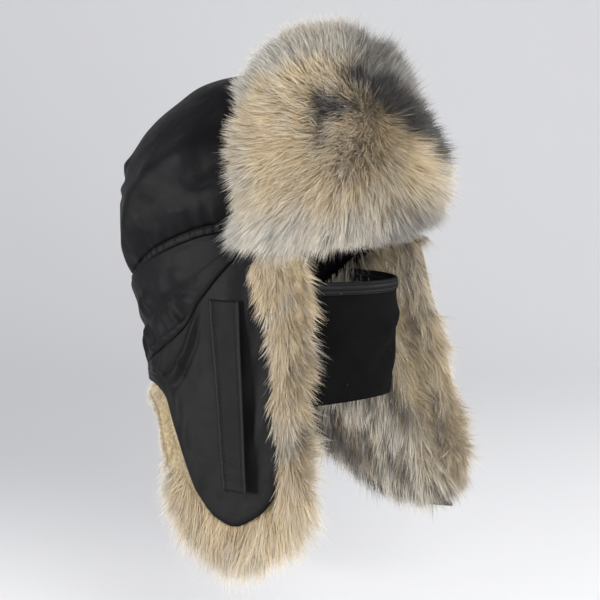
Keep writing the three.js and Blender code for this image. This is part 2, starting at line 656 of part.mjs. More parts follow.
// Dense fur and locks of a flap's lining.
function flapFur(hand, neighbours) {
  const back = -FLAP_WALL - FUR_SEAT;
  const rim = (u, v) => Math.max(1 - u / 0.14, (v - 0.86) / 0.14, 0);
  const pile = (u, v) => mix(FLAP_PILE * mix(1, 0.45, smooth((u - 0.5) / 0.5)), FUR_EDGE, smooth(rim(u, v)));
  const outer = (u, v) => flapFurPoint(hand, u, v, back + 3.2 * smooth(rim(u, v)), 1);
  const inner = (u, v) => flapFurPoint(hand, u, v, back - pile(u, v), 1);
  const dense = solidBetween(8, 5, false, outer, inner);
  const locks = [];
  const edge = [];
  for (let k = 0; k < 8; k++) edge.push([0, mix(0.05, 0.9, k / 7)]);
  for (let k = 0; k < 12; k++) edge.push([mix(0.03, 0.97, k / 11), 1]);
  const step = 0.02;
  for (const ring of [0, 1])
    edge.forEach(([u, v], k) => {
      if (ring === 1 && k % 2) return;
      const jitter = (ring - 0.5) * 0.9 + 0.2 * scatter(k, ring);
      const [su, sv] = u === 0 ? [u, clamp(v + 0.06 * jitter, 0.01, 0.99)] : [clamp(u + 0.043 * jitter, 0.01, 0.99), v];
      const depth = back - FUR_EDGE * (0.25 + 0.5 * ring);
      const root = flapFurPoint(hand, su, sv, depth, 1);
      const within = flapFurPoint(hand, u === 0 ? su + step : su, u === 0 ? sv : sv - step, depth, 1);
      const out = root.clone().sub(within).normalize();
      if (u === 0) out.z -= 0.25 + 0.8 * v;
      const face = root.clone().sub(flapFurPoint(hand, su, sv, depth - 4, 1)).normalize();
      const lean = (0.5 - ring) * 0.8;
      out.normalize().addScaledVector(face, lean + 0.1 * scatter(k, ring + 3));
      const rear = u > 0 ? mix(1, 0.66, smooth((u - 0.45) / 0.25)) : mix(0.6, 0.8, smooth(v / 0.3));
      const long = FLAP_LOCK * rear * (1 + 0.16 * scatter(k, ring + 7));
      locks.push(lock(root, out, face.multiplyScalar(0.5 * lean), long, LOCK_WIDTH));
    });
  for (let i = 0; i < 3; i++)
    for (let j = 0; j < 4; j++) {
      const u = 0.14 + 0.18 * i + 0.03 * scatter(i, j);
      const v = 0.16 + 0.2 * j + 0.04 * scatter(j, i);
      const root = flapFurPoint(hand, u, v, back - pile(u, v), 1);
      const face = root.clone().sub(flapFurPoint(hand, u, v, back, 1)).normalize();
      const fall = point(0, -0.35, -1).addScaledVector(face, 0.7);
      locks.push(lock(root, fall, face.multiplyScalar(0), 0.63 * FLAP_LOCK, LOCK_WIDTH * 1.1));
    }
  return furSolid(dense, locks, neighbours);
}

// Room kept for the fur behind the neck, between the two flap linings, grown by a clearance.
const napeZone = (grow) => {
  const turnAt = (u) => mix(NAPE_TURN - 1, 361 - NAPE_TURN, u) + (u === 0 ? -grow : u === 1 ? grow : 0);
  const at = (u, v, off) => {
    const turn = turnAt(u);
    const z = hemZ(turn) + mix(NAPE_LINING + grow, -NAPE_FUR_DROP - 2 * NAPE_LOCK - grow, v);
    return bodyPoint(turnShare(turn), turnHand(turn), z, off);
  };
  return solidBetween(6, 1, false, (u, v) => at(u, v, NAPE_PILE + grow), (u, v) => at(u, v, -4 * NAPE_PILE - grow));
};

// Dense fur and locks behind the neck.
function napeFur(neighbours) {
  const from = NAPE_TURN;
  const turnAt = (u) => mix(from, 360 - from, u);
  const at = (u, v, off) => {
    const turn = turnAt(u);
    const z = hemZ(turn) + mix(NAPE_LINING - 2, -NAPE_FUR_DROP, v);
    return bodyPoint(turnShare(turn), turnHand(turn), z, off);
  };
  const back = -BAND_WALL - ELASTIC_INSET - FUR_SEAT;
  const dense = solidBetween(
    8,
    3,
    false,
    (u, v) => at(u, v, v === 1 ? back + 1.5 : back),
    (u, v) => at(u, v, back - NAPE_PILE * (v === 0 || v === 1 ? 0.6 : 1)),
  );
  const locks = [];
  for (const ring of [0, 1])
    for (let k = 0; k < 7; k++) {
      const u = clamp(0.05 + (0.88 * k) / 6 + 0.07 * (ring - 0.5), 0, 1);
      const root = at(u, 0.97, back - NAPE_PILE * (0.15 + 0.4 * ring));
      const out = at(u, 1, 0).sub(at(u, 1, -10)).normalize();
      const fall = point(0, 0, -1).addScaledVector(out, 0.35 - 0.5 * ring);
      locks.push(lock(root, fall, out.multiplyScalar(0), NAPE_LOCK * (1 + 0.15 * scatter(k, ring)), LOCK_WIDTH * 0.8));
    }
  return furSolid(dense, locks, neighbours, napeZone(0));
}

// Dense fur and locks of the brim.
function brimFur(neighbours) {
  const back = BRIM_WALL + FUR_SEAT;
  const turnAt = (u) => mix(-1, 1, u) * (BRIM_TURN + 2.5);
  const rim = (u, v) => Math.max(1 - u / 0.06, (u - 0.94) / 0.06, 1 - v / 0.12, (v - 0.5) / 0.5, 0);
  const at = (u, v, off) => brimPoint(turnAt(u), v, off, BRIM_FUR_PAST);
  const dense = solidBetween(
    14,
    5,
    false,
    (u, v) => at(u, v, back + mix(BRIM_PILE, 5, rim(u, v))),
    (u, v) => at(u, v, back),
  );
  const locks = [];
  const across = 12;
  const high = 4;
  for (let j = 0; j <= high; j++)
    for (let i = 0; i <= across; i++) {
      const u = clamp((i + 0.5 * (j % 2) + 0.3 * scatter(i, j)) / (across + 0.5), 0.005, 0.995);
      const v = clamp((j + 0.25 * scatter(j + 9, i)) / high, 0.02, 0.985);
      const root = at(u, v, back + mix(BRIM_PILE, 5, rim(u, v)) - 2);
      const face = root.clone().sub(at(u, v, back - 12)).setZ(0).normalize();
      const aside = point(-face.y, face.x, 0).multiplyScalar(-1);
      if (aside.dot(at(Math.min(1, u + 0.02), v, 0).sub(at(Math.max(0, u - 0.02), v, 0))) < 0) aside.negate();
      const spread = 2 * u - 1;
      const way = face
        .clone()
        .multiplyScalar(mix(0.6, 0.3, rim(u, v)))
        .addScaledVector(aside, 0.95 * spread + 0.15 * scatter(i, j + 20))
        .add(point(0, 0, 1.5 * (v - 0.3) + 0.15 * scatter(i + 5, j)));
      const low = v < 0.1 ? 0.55 : 1;
      locks.push(
        lock(root, way, point(0, 0, 0.25 * (v - 0.4)), BRIM_LOCK * low * (1 + 0.14 * scatter(i, j + 30)), LOCK_WIDTH * 1.1),
      );
    }
  return furSolid(dense, locks, neighbours);
}

const group = new THREE.Group();
function add(name, geometry, color, roughness) {
  const mesh = new THREE.Mesh(geometry, new THREE.MeshStandardMaterial({ color, roughness }));
  mesh.name = name;
  group.add(mesh);
}

const NYLON = 0x2b2a2c;
const FUR = 0xb8a070;
const KNIT = 0x1b1b1b;

add('crown', crown(0), NYLON, 0.6);
add('seam_band', seamBand(0), NYLON, 0.6);
add('lower_band', lowerBand(0), NYLON, 0.6);
add('right_ear_flap', flapShell(-1, 0), NYLON, 0.6);
add('left_ear_flap', flapShell(1, 0), NYLON, 0.6);
add('right_strap', strap(-1, RIGHT_STRAP_LENGTH, 0), NYLON, 0.7);
add('left_strap', strap(1, LEFT_STRAP_LENGTH, 0), NYLON, 0.7);
add('brim_backing', brimBacking(0), NYLON, 0.6);
add('face_mask', faceMask(0), KNIT, 0.95);
add('mask_binding', maskBinding(0), 0x333335, 0.9);
const worn = [crown(GAP), seamBand(GAP), lowerBand(GAP), faceMask(GAP), maskBinding(GAP)];
add('nape_fur', napeFur(worn), FUR, 0.9);
add('brim_fur', brimFur([...worn, brimBacking(GAP)]), FUR, 0.9);
const sides = [
  ['right', -1, RIGHT_STRAP_LENGTH],
  ['left', 1, LEFT_STRAP_LENGTH],
];
for (const [side, hand, length] of sides)
  add(
    side + '_flap_fur',
    flapFur(hand, [...worn, napeZone(GAP), flapShell(hand, GAP), strap(hand, length, GAP)]),
    FUR,
    0.9,
  );

export default group;
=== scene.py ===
"""Winter trapper hat: padded nylon crown and bands, straps, a knit mask and long-haired fur.

Shapes are worked out in millimetres in the model's own frame and set in metres. A turn is an angle
round the head from the front, in degrees, positive towards the left; a share runs from -1 at the
front of a section to +1 at its back; a hand is -1 on the right and +1 on the left.
"""

import math

import bmesh
import bpy
import numpy as np
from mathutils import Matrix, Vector


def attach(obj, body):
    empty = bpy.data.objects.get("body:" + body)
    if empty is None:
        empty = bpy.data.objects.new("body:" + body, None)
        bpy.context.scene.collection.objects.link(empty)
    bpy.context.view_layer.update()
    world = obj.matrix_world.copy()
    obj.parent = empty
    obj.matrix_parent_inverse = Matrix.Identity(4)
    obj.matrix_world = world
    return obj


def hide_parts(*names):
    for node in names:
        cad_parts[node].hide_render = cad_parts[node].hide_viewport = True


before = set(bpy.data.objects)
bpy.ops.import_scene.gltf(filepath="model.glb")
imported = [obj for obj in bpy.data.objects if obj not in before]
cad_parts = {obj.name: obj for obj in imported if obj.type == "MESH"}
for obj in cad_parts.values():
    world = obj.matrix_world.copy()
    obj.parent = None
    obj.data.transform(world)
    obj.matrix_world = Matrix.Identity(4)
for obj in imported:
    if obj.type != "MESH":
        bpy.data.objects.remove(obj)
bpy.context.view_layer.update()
MM = 0.001

# Sizes of the hat, in millimetres.
GAP = 0.3
CROWN_HALF_WIDTH, CROWN_BACK, CROWN_FRONT, CROWN_BACK_SQUARE = 95, 120, 92, 2.3
CROWN_TOP, CROWN_HEIGHT, CROWN_WALL = 20, 153, 8
CROWN_LIP, CROWN_LIP_HEIGHT, CROWN_EDGE_WALL = 8, 25, 3
SEAM_BAND_HEIGHT, SEAM_BAND_INSET, SEAM_BAND_WALL = 7, 6, 4
BAND_HALF_WIDTH, BAND_BACK, BAND_FRONT, BAND_WALL = 90, 107, 106, 3
BAND_END_TURN, BAND_PUCKER_DEPTH = 68, 2.1
ELASTIC_INSET, ELASTIC_PLACE = 2.4, 0.56
FLAP_REACH, FLAP_WALL, FLAP_SEAM_GAP, FLAP_SWING = 302, 2.5, 1.2, 190
LEFT_SPLAY_OUT, LEFT_SPLAY_FORWARD = 33, 15
FLAP_PILE, FLAP_FUR_PAST_TEMPLE, FLAP_FUR_PAST_FRONT = 25, 31, 14
FLAP_FUR_PAST_TIP, FLAP_FUR_PAST_REAR, LEFT_FUR_FULL, LEFT_FUR_CURL = 16, 16, 1.3, 13
FUR_SEAT, FUR_EDGE = 1.6, 9
NAPE_TURN, NAPE_LINING, NAPE_PILE, NAPE_FUR_DROP = 147, 40, 11, 8
BRIM_TURN, BRIM_TOP, BRIM_FOOT_RISE, BRIM_WALL, BRIM_PILE, BRIM_FUR_PAST = 61, 30, 10, 2.5, 24, 8
STRAP_WIDTH, STRAP_END_WIDTH, STRAP_WALL, STRAP_TOP, STRAP_LIFT = 27, 20, 1.6, 1.059, 2.6
STRAP_LENGTH = {-1: 134, 1: 187}
MASK_HALF_WIDTH, MASK_FRONT, MASK_TOP, MASK_HEIGHT = 70, 100, 0.98, 86
MASK_SIDE_DROP, MASK_WALL, MASK_TURN = 10, 1.8, 74
BINDING_HEIGHT, BINDING_WALL, BINDING_RIB = 9.5, 3.2, 0.7

# Tables of (place, value), read on a smooth line.
CROWN_OUT = [
    (0, 0), (0.012, 0.2), (0.037, 0.36), (0.074, 0.48), (0.142, 0.595), (0.243, 0.745),
    (0.378, 0.875), (0.48, 0.945), (0.581, 0.995), (0.709, 1), (1, 0.985),
]  # fmt: skip
SEAM = [
    (0, 0.623), (40, 0.642), (68, 0.686), (76, 0.696), (90, 0.72), (99, 0.755), (115, 0.828),
    (140, 0.964), (160, 1.02), (180, 1.033),
]  # fmt: skip
HEM = [
    (0, 0.706), (40, 0.745), (68, 0.804), (76, 0.87), (90, 1.054), (99, 1.2), (115, 1.314),
    (140, 1.418), (160, 1.457), (180, 1.477),
]  # fmt: skip
SECTION_DOWN = (0.3, 0.46, 0.51, 0.54, 0.61, 0.7, 0.84, 1, 1.16)
SECTION = {
    "side": (0.985, 1, 1.002, 1.005, 1.015, 1.04, 1.075, 1.1, 1.11),
    "back": (1.01, 1, 0.99, 0.965, 0.9, 0.85, 0.85, 0.85, 0.85),
    "front": (1, 1.06, 1.08, 1.1, 1.13, 1.16, 1.18, 1.18, 1.18),
    "square": (2, 2.2, 2.4, 2.6, 3, 3.5, 3.5, 3.5, 3.5),
    "back_square": (2.25, 2.2, 2.2, 2.2, 2.2, 2.2, 2.4, 2.6, 2.6),
}
FLAP_START = (-0.377, -0.283, -0.17, -0.057, 0.056, 0.16, 0.265, 0.385, 0.51, 0.65, 0.8)
FLAP_END = (-0.575, -0.5, -0.39, -0.265, -0.14, 0, 0.12, 0.235, 0.385, 0.6, 0.79)
FLAP_DEPTH = (0.875, 0.941, 0.98, 1, 0.985, 0.93, 0.866, 0.79, 0.712, 0.69, 0.69)
FLAP_BOW = (0.045, 0.035, 0.035, 0.02, 0.01, 0, 0, 0, 0, 0, 0)
BRIM_OUT = [(0, -5.5), (0.1, 1.2), (0.25, 3.2), (0.5, 2.5), (0.75, -3), (1, -9)]
BRIM_DROPS = [
    (-61, 36), (-52, 13), (-40, 2), (-30, 0), (-18, 3), (-4, 13), (12, 25), (30, 34), (48, 37),
    (61, 48),
]  # fmt: skip

# Folds as (a, b, to a, to b, width, height): soft ridges, or dents where the height is negative.
CROWN_FOLDS = [
    (-85, 0.27, -100, 0.37, 0.13, 3.2), (-100, 0.37, -115, 0.49, 0.13, 3.4),
    (-115, 0.49, -125, 0.66, 0.13, 3), (-125, 0.66, -133, 0.86, 0.13, 2.4),
    (-92, 0.48, -112, 0.62, 0.14, -2.4), (-150, 0.56, -172, 0.6, 0.08, -3.4),
    (-148, 0.46, -176, 0.5, 0.1, 2), (88, 0.3, 112, 0.42, 0.14, 3),
    (112, 0.42, 128, 0.72, 0.14, 2.6), (92, 0.52, 110, 0.66, 0.14, -2.2),
    (150, 0.6, 170, 0.56, 0.1, -2.4), (-112, 0.3, -172, 0.33, 0.28, 3),
]  # fmt: skip
CROWN_CREASES = [
    (-140, 0.52, -166, 0.545, 0.035, -1.6), (-138, 0.6, -160, 0.615, 0.03, -1.3),
    (-144, 0.44, -170, 0.45, 0.03, 1.2), (-128, 0.72, -140, 0.93, 0.05, 1.2),
    (-104, 0.66, -96, 0.645, 0.025, 0.9), (-78, 0.42, -96, 0.47, 0.06, -0.8),
    (120, 0.5, 148, 0.53, 0.035, -1.3), (128, 0.62, 158, 0.64, 0.035, 1.2),
    (100, 0.5, 108, 0.66, 0.05, 1), (84, 0.36, 100, 0.4, 0.05, -0.8),
]  # fmt: skip
FLAP_FOLDS = [
    (0.48, 0.12, 0.75, 0.75, 0.09, 1.8), (0.52, 0.1, 0.62, 0.8, 0.08, -1.6),
    (0.08, 0.2, 0.16, 0.8, 0.1, -1.5),
]  # fmt: skip
FLAP_CREASES = [
    (0.4, 0.04, 0.55, 0.18, 0.022, 2.2), (0.55, 0.18, 0.74, 0.42, 0.024, 2),
    (0.4, 0.12, 0.55, 0.25, 0.02, -1.6), (0.55, 0.25, 0.7, 0.5, 0.022, -1.4),
    (0.72, 0.05, 0.8, 0.4, 0.03, 1.4), (0.86, 0.08, 0.86, 0.5, 0.03, 1.2),
    (0.2, 0.43, 0.02, 0.33, 0.035, 1.5), (0.2, 0.72, 0.02, 0.58, 0.035, 1.4),
    (0.17, 0.32, 0.04, 0.12, 0.035, 1.2), (0.62, 0.5, 0.66, 0.85, 0.04, 1.2),
]  # fmt: skip
MASK_FOLDS = [
    (40, 0.25, -8, 0.6, 0.12, 2.6), (46, 0.5, 4, 0.86, 0.12, 2.6),
    (-44, 0.3, -14, 0.7, 0.13, 2.4), (22, 0.46, -16, 0.82, 0.1, -2.6),
]  # fmt: skip
MASK_CREASES = [
    (44, 0.34, 14, 0.66, 0.04, 0.9), (30, 0.3, -14, 0.5, 0.045, 0.8),
    (50, 0.62, 20, 0.93, 0.04, 0.9), (-30, 0.2, -50, 0.6, 0.05, 0.8),
]  # fmt: skip


# Shapes.
def mix(a, b, t):
    return a + (b - a) * t


def smooth(t):
    t = np.clip(t, 0, 1)
    return t * t * (3 - 2 * t)


def line(table, at):
    """A smooth line through a table of (place, value) that never overshoots."""
    keys, values = np.array(table, float).T
    at = np.clip(at, keys[0], keys[-1])
    i = np.clip(np.searchsorted(keys, at, "right") - 1, 0, len(keys) - 2)
    slope = np.diff(values) / np.diff(keys)
    product, total = slope[:-1] * slope[1:], slope[:-1] + slope[1:]
    inner = np.where(product <= 0, 0, 2 * product / np.where(product <= 0, 1, total))
    tangent = np.concatenate([slope[:1], inner, slope[-1:]])
    width = keys[i + 1] - keys[i]
    t = (at - keys[i]) / width
    bend = width * t * (1 - t) * ((1 - t) * tangent[i] - t * tangent[i + 1])
    return mix(values[i], values[i + 1], t * t * (3 - 2 * t)) + bend


def folds(rows, a, b, turn_unit=1.0, down_unit=1.0):
    """Height of the listed folds at a place (a, b) of a surface."""
    height = 0
    for a0, b0, a1, b1, wide, high in rows:
        start = np.array([a0 * turn_unit, b0 * down_unit])
        along = np.array([a1 * turn_unit, b1 * down_unit]) - start
        t = np.clip(((a - start[0]) * along[0] + (b - start[1]) * along[1]) / (along @ along), 0, 1)
        away = np.hypot(a - start[0] - t * along[0], b - start[1] - t * along[1])
        height = height + high * np.exp(-((away / wide) ** 2))
    return height


def crumple(a, b, seed, octaves=3):
    """Soft irregular waves over two coordinates, between about -1 and 1."""
    rng = np.random.default_rng(seed)
    total = 0
    for octave in range(octaves):
        for angle, first, second in rng.uniform(0, 2 * math.pi, (4, 3)):
            along = (a * math.cos(angle) + b * math.sin(angle)) * 2**octave
            across = (b * math.cos(angle) - a * math.sin(angle)) * 2**octave
            wave = np.sin(along + first + 1.4 * np.sin(0.8 * across + second))
            total = total + wave / 1.8**octave
    return total / 4


def gathers(turn, count, seed):
    """Uneven gathers round a seam, between -1 and 1."""
    angle = np.radians(turn)
    drift = 1.9 * np.sin(7 * angle + seed) + 1.3 * np.sin(13 * angle + 2 * seed)
    size = 0.65 + 0.35 * np.sin(11 * angle + 3 * seed)
    return size * np.cos(count * angle + drift)


def section(share, hand, half, front, back, square, z):
    s = np.clip(share, -1, 1)
    across = np.maximum(0, 1 - np.abs(s) ** square) ** (1 / square)
    parts = np.broadcast_arrays(hand * half * across, s * np.where(s < 0, front, back), z)
    return np.stack(parts, -1).astype(float)


def turn_share(turn):
    return -np.cos(np.radians(turn))


def turn_hand(turn):
    return np.where(np.sin(np.radians(turn)) < 0, -1.0, 1.0)


def wrap_turn(turn):
    return (np.asarray(turn, float) + 180) % 360 - 180


def below_top(share):
    return CROWN_TOP - CROWN_HEIGHT * share


def seam_z(turn):
    return below_top(line(SEAM, np.abs(wrap_turn(turn))))


def hem_z(turn):
    return below_top(line(HEM, np.abs(wrap_turn(turn))))


def hem_at_share(share):
    return hem_z(np.degrees(np.arccos(np.clip(-share, -1, 1))))


def back_square(turn):
    return np.where(turn_share(turn) < 0, 2, CROWN_BACK_SQUARE)


def crown_ring(turn, out, off, square, z):
    """Ring of the crown's outline, scaled by out and moved outwards by off, at a height z."""
    sizes = (CROWN_HALF_WIDTH * out + off, CROWN_FRONT * out + off, CROWN_BACK * out + off)
    return section(turn_share(turn), turn_hand(turn), *sizes, square, z)


def crown_point(turn, way, off, lip, detail):
    """Outside of the crown at a turn and share of the way from the top down to the seam."""
    seam = seam_z(turn)
    z = mix(CROWN_TOP, seam, way)
    down = (CROWN_TOP - z) / CROWN_HEIGHT
    out = line(CROWN_OUT, down)
    above = z - seam
    angle = np.radians(wrap_turn(turn))
    bare = smooth((np.abs(wrap_turn(turn)) - 66) / 16)
    ease = np.minimum(1, out * 1.4)
    high = folds(CROWN_FOLDS, angle, 1.3 * down, math.pi / 180, 1.3)
    high = high + folds(CROWN_CREASES, angle, 1.3 * down, math.pi / 180, 1.3)
    high = high + 0.9 * crumple(5 * angle, 9 * down, 3) * smooth(down / 0.3)
    near = np.maximum(0, 1 - above / 22)
    pull = gathers(turn, 52, 1) * near**2 * 1.3 + gathers(turn, 23, 4) * near * 1.1
    radial = off * ease - lip * np.maximum(0, 1 - above / CROWN_LIP_HEIGHT) ** 2
    radial = radial + detail * (bare * ease * (high + pull) - 1.2 * (1 - bare))
    return crown_ring(turn, out, radial, back_square(turn), z)


def seam_ring(turn, off, z):
    """Ring under the crown's overhang, moved outwards by off, at a height z."""
    out = line(CROWN_OUT, (CROWN_TOP - seam_z(turn)) / CROWN_HEIGHT)
    return crown_ring(turn, out, off - SEAM_BAND_INSET, back_square(turn), z)


def body_point(share, hand, z, off):
    """Outside of the bands and flaps at a share, hand and height."""
    down = -np.asarray(z, float) / FLAP_REACH
    size = {name: line(list(zip(SECTION_DOWN, row)), down) for name, row in SECTION.items()}
    return section(
        share,
        hand,
        BAND_HALF_WIDTH * size["side"] + off,
        BAND_FRONT * size["front"] + off,
        BAND_BACK * size["back"] + off,
        np.where(np.asarray(share) < 0, size["square"], size["back_square"]),
        z,
    )


def outward(p):
    """Level direction away from the head at each point."""
    flat = p * [1 / BAND_HALF_WIDTH, 1 / BAND_BACK, 0]
    return unit(flat)


def unit(v):
    return v / np.maximum(1e-9, np.linalg.norm(v, axis=-1, keepdims=True))


def band_point(turn, way, off, detail):
    """Outside of the lower band at a turn and share of the way down."""
    z = mix(seam_z(turn) - 2 * GAP - SEAM_BAND_HEIGHT, hem_z(turn), way)
    low = body_point(turn_share(turn), turn_hand(turn), z, off)
    high = seam_ring(turn, off - 0.5, z)
    p = mix(high, low, smooth(way / 0.3)[..., None])
    elastic = smooth((np.abs(wrap_turn(turn)) - 84) / 22)
    drawn = -ELASTIC_INSET * elastic * np.exp(-(((way - ELASTIC_PLACE) / 0.09) ** 2))
    upper = np.sin(math.pi * np.clip(way / ELASTIC_PLACE, 0, 1))
    lower = np.sin(math.pi * np.clip((1 - way) / (1 - ELASTIC_PLACE), 0, 1))
    lean = turn + 26 * (way - ELASTIC_PLACE) * np.sign(wrap_turn(turn))
    pucker = 0.75 * gathers(lean, 27, 2) * upper * smooth((way - 0.15) / 0.2)
    pucker = pucker + (1.3 * gathers(lean, 27, 5) + 0.6 * gathers(lean, 52, 7)) * lower
    roll = 0.9 * np.exp(-((way / 0.07) ** 2)) + 0.5 * crumple(way * 7, np.radians(turn) * 6, 8)
    wave = drawn + BAND_PUCKER_DEPTH * elastic * pucker + roll * smooth((1 - way) / 0.1)
    wave = wave + 0.9 * np.exp(-(((way - 0.93) / 0.035) ** 2))
    return p + outward(p) * (detail * wave)[..., None]


def flap_at(hand, share, z, off):
    """Outside of a flap, without folds: share, height and outward move, swung by its splay."""
    p = body_point(np.clip(share, -0.98, 0.98), hand, z, off)
    if hand > 0:
        swing = np.maximum(0, (hem_at_share(share) - z) / FLAP_SWING)
        p[..., 0] += LEFT_SPLAY_OUT * swing**2
        p[..., 1] -= LEFT_SPLAY_FORWARD * swing**1.5
    return p


def flap_place(place, drop):
    """Share and height on a flap at a place along its seam and a share of the drop."""
    start, end, depth, bow = (
        line(list(zip(np.linspace(0, 1, 11), row)), place)
        for row in (FLAP_START, FLAP_END, FLAP_DEPTH, FLAP_BOW)
    )
    share = mix(start, end, drop) - bow * 4 * drop * (1 - drop)
    return share, mix(hem_at_share(start) - FLAP_SEAM_GAP, -FLAP_REACH * depth, drop)


def flap_point(hand, place, drop, off, detail):
    share, z = flap_place(place, drop)
    high = folds(FLAP_FOLDS, place, 0.5 * drop, 1, 0.5) * smooth(drop / 0.12)
    high = high + folds(FLAP_CREASES, place, 0.5 * drop, 1, 0.5) * smooth(drop / 0.05)
    high = high + 0.55 * crumple(9 * place, 7 * drop, 5 + hand) * smooth(drop / 0.1)
    edge = np.maximum.reduce([1 - place / 0.03, (drop - 0.975) / 0.025, 0 * drop])
    return flap_at(hand, share, z, off + detail * (high - 1.1 * edge**2))


def flap_fur_point(hand, place, drop, off, past):
    """Fur of a flap: the shell's places pushed past its front, tip and rear edges."""
    share, z = flap_place(place, drop)
    temple = FLAP_FUR_PAST_TEMPLE * (1 if hand < 0 else LEFT_FUR_FULL)
    front = np.maximum(0, 1 - place / 0.34) * mix(temple, FLAP_FUR_PAST_FRONT, smooth(drop / 0.7))
    curl = (0 if hand < 0 else LEFT_FUR_CURL) * np.maximum(0, 1 - place / 0.13) * (1 - drop**3)
    rear = smooth((place - 0.35) / 0.3) * drop**2
    tip = drop**4 * (1 - 0.6 * np.abs(place - 0.3))
    share = share - past * front / (BAND_FRONT * 1.15)
    share = share + past * FLAP_FUR_PAST_REAR * rear / BAND_BACK
    return flap_at(hand, share, z - past * FLAP_FUR_PAST_TIP * tip, off + past * curl)


def brim_point(turn, up, off, past):
    """Brim backing at a turn and share of its height."""
    foot = seam_z(turn) - SEAM_BAND_HEIGHT + BRIM_FOOT_RISE * (turn / BRIM_TURN) ** 4 - past
    top = BRIM_TOP - line(BRIM_DROPS, turn) + past
    return crown_ring(turn, 1, line(BRIM_OUT, up) + off, 2, mix(foot, top, up))


def mask_point(turn, down, off, detail):
    """Outside of the mask at a turn and share of its height."""
    t = turn / MASK_TURN
    z = below_top(MASK_TOP) - (MASK_HEIGHT + MASK_SIDE_DROP * t**2) * down
    low = smooth((down - 0.25) / 0.75)
    angle = np.radians(turn)
    high = folds(MASK_FOLDS, angle, down, math.pi / 180)
    high = high + folds(MASK_CREASES, angle, down, math.pi / 180)
    high = high + 0.35 * crumple(7 * angle, 6 * down, 6)
    radial = off + detail * high * smooth(down / 0.2) * (1 - t**4)
    return section(
        turn_share(turn),
        turn_hand(turn),
        MASK_HALF_WIDTH + radial,
        MASK_FRONT - 6 * low * (1 - t**2) + radial,
        MASK_FRONT,
        2,
        z,
    )


# Finishes.
class Cue:
    """One output of a finish, so that its maths reads as arithmetic."""

    def __init__(self, finish, socket):
        self.finish, self.socket = finish, socket

    def math(self, operation, *others):
        made = self.finish.node("Math", {"operation": operation})
        for slot, value in zip(made.inputs, (self, *others)):
            self.finish.feed(slot, value)
        return Cue(self.finish, made.outputs[0])

    def __add__(self, other):
        return self.math("ADD", other)

    def __sub__(self, other):
        return self.math("SUBTRACT", other)

    def __rsub__(self, other):
        return (self * -1).math("ADD", other)

    def __mul__(self, other):
        return self.math("MULTIPLY", other)

    __radd__ = __add__
    __rmul__ = __mul__

    def between(self, low, high):
        """0 below low, 1 above high, a soft step between."""
        settings = {"interpolation_type": "SMOOTHSTEP"}
        values = {"Value": self, "From Min": low, "From Max": high}
        return self.finish.out("MapRange", settings, values, "Result")


class Finish:
    """A procedural finish around one shader."""

    def __init__(self, name, **constants):
        self.material = bpy.data.materials.new(name)
        self.material.use_nodes = True
        self.tree = self.material.node_tree
        self.shader = self.tree.nodes["Principled BSDF"]
        for socket, value in constants.items():
            self.shader.inputs[socket.replace("_", " ")].default_value = value

    def feed(self, socket, value):
        if isinstance(value, Cue):
            self.tree.links.new(value.socket, socket)
        else:
            socket.default_value = value

    def node(self, kind, settings=None, values=None):
        """A node of a type, its settings first, then the values or links of its sockets."""
        made = self.tree.nodes.new("ShaderNode" + kind)
        for key, value in (settings or {}).items():
            setattr(made, key, value)
        for key, value in (values or {}).items():
            socket = next(s for s in made.inputs if key in (s.identifier, s.name) and s.enabled)
            self.feed(socket, value)
        return made

    def out(self, kind, settings=None, values=None, output=0):
        return Cue(self, self.node(kind, settings, values).outputs[output])

    def blend(self, factor, a, b):
        """Colour a turning into colour b as factor goes from 0 to 1."""
        settings = {"data_type": "RGBA", "blend_type": "MIX", "clamp_factor": True}
        a, b = (c if isinstance(c, Cue) else (*c, 1) for c in (a, b))
        values = {"Factor_Float": factor, "A_Color": a, "B_Color": b}
        made = self.node("Mix", settings, values)
        return Cue(self, next(s for s in made.outputs if s.identifier == "Result_Color"))

    def place(self):
        return self.out("TexCoord", output="Object")

    def cloth_map(self):
        """The cloth's own coordinates in metres: along it and across it."""
        split = self.node("SeparateXYZ", None, {"Vector": self.out("UVMap", {"uv_map": "cloth"})})
        return Cue(self, split.outputs[0]), Cue(self, split.outputs[1])

    def strand(self, name):
        return self.out("Attribute", {"attribute_name": name}, output="Fac")

    def noise(self, vector, scale, detail=2.0, rough=0.5):
        values = {"Vector": vector, "Scale": scale, "Detail": detail, "Roughness": rough}
        return self.out("TexNoise", None, values)

    def bump(self, height, distance, strength=1.0, under=None):
        values = {"Height": height, "Distance": distance, "Strength": strength}
        if under:
            values["Normal"] = under
        return self.out("Bump", None, values)

    def use(self, **links):
        for socket, value in links.items():
            self.feed(self.shader.inputs[socket.replace("_", " ")], value)
        return self.material


def weave(f, pitch):
    """Height of a plain weave of threads at a pitch in metres."""
    along, across = f.cloth_map()
    step = 2 * math.pi / pitch
    warp = (along * step).math("SINE")
    weft = (across * step).math("SINE")
    return warp * weft * 0.5 + 0.5


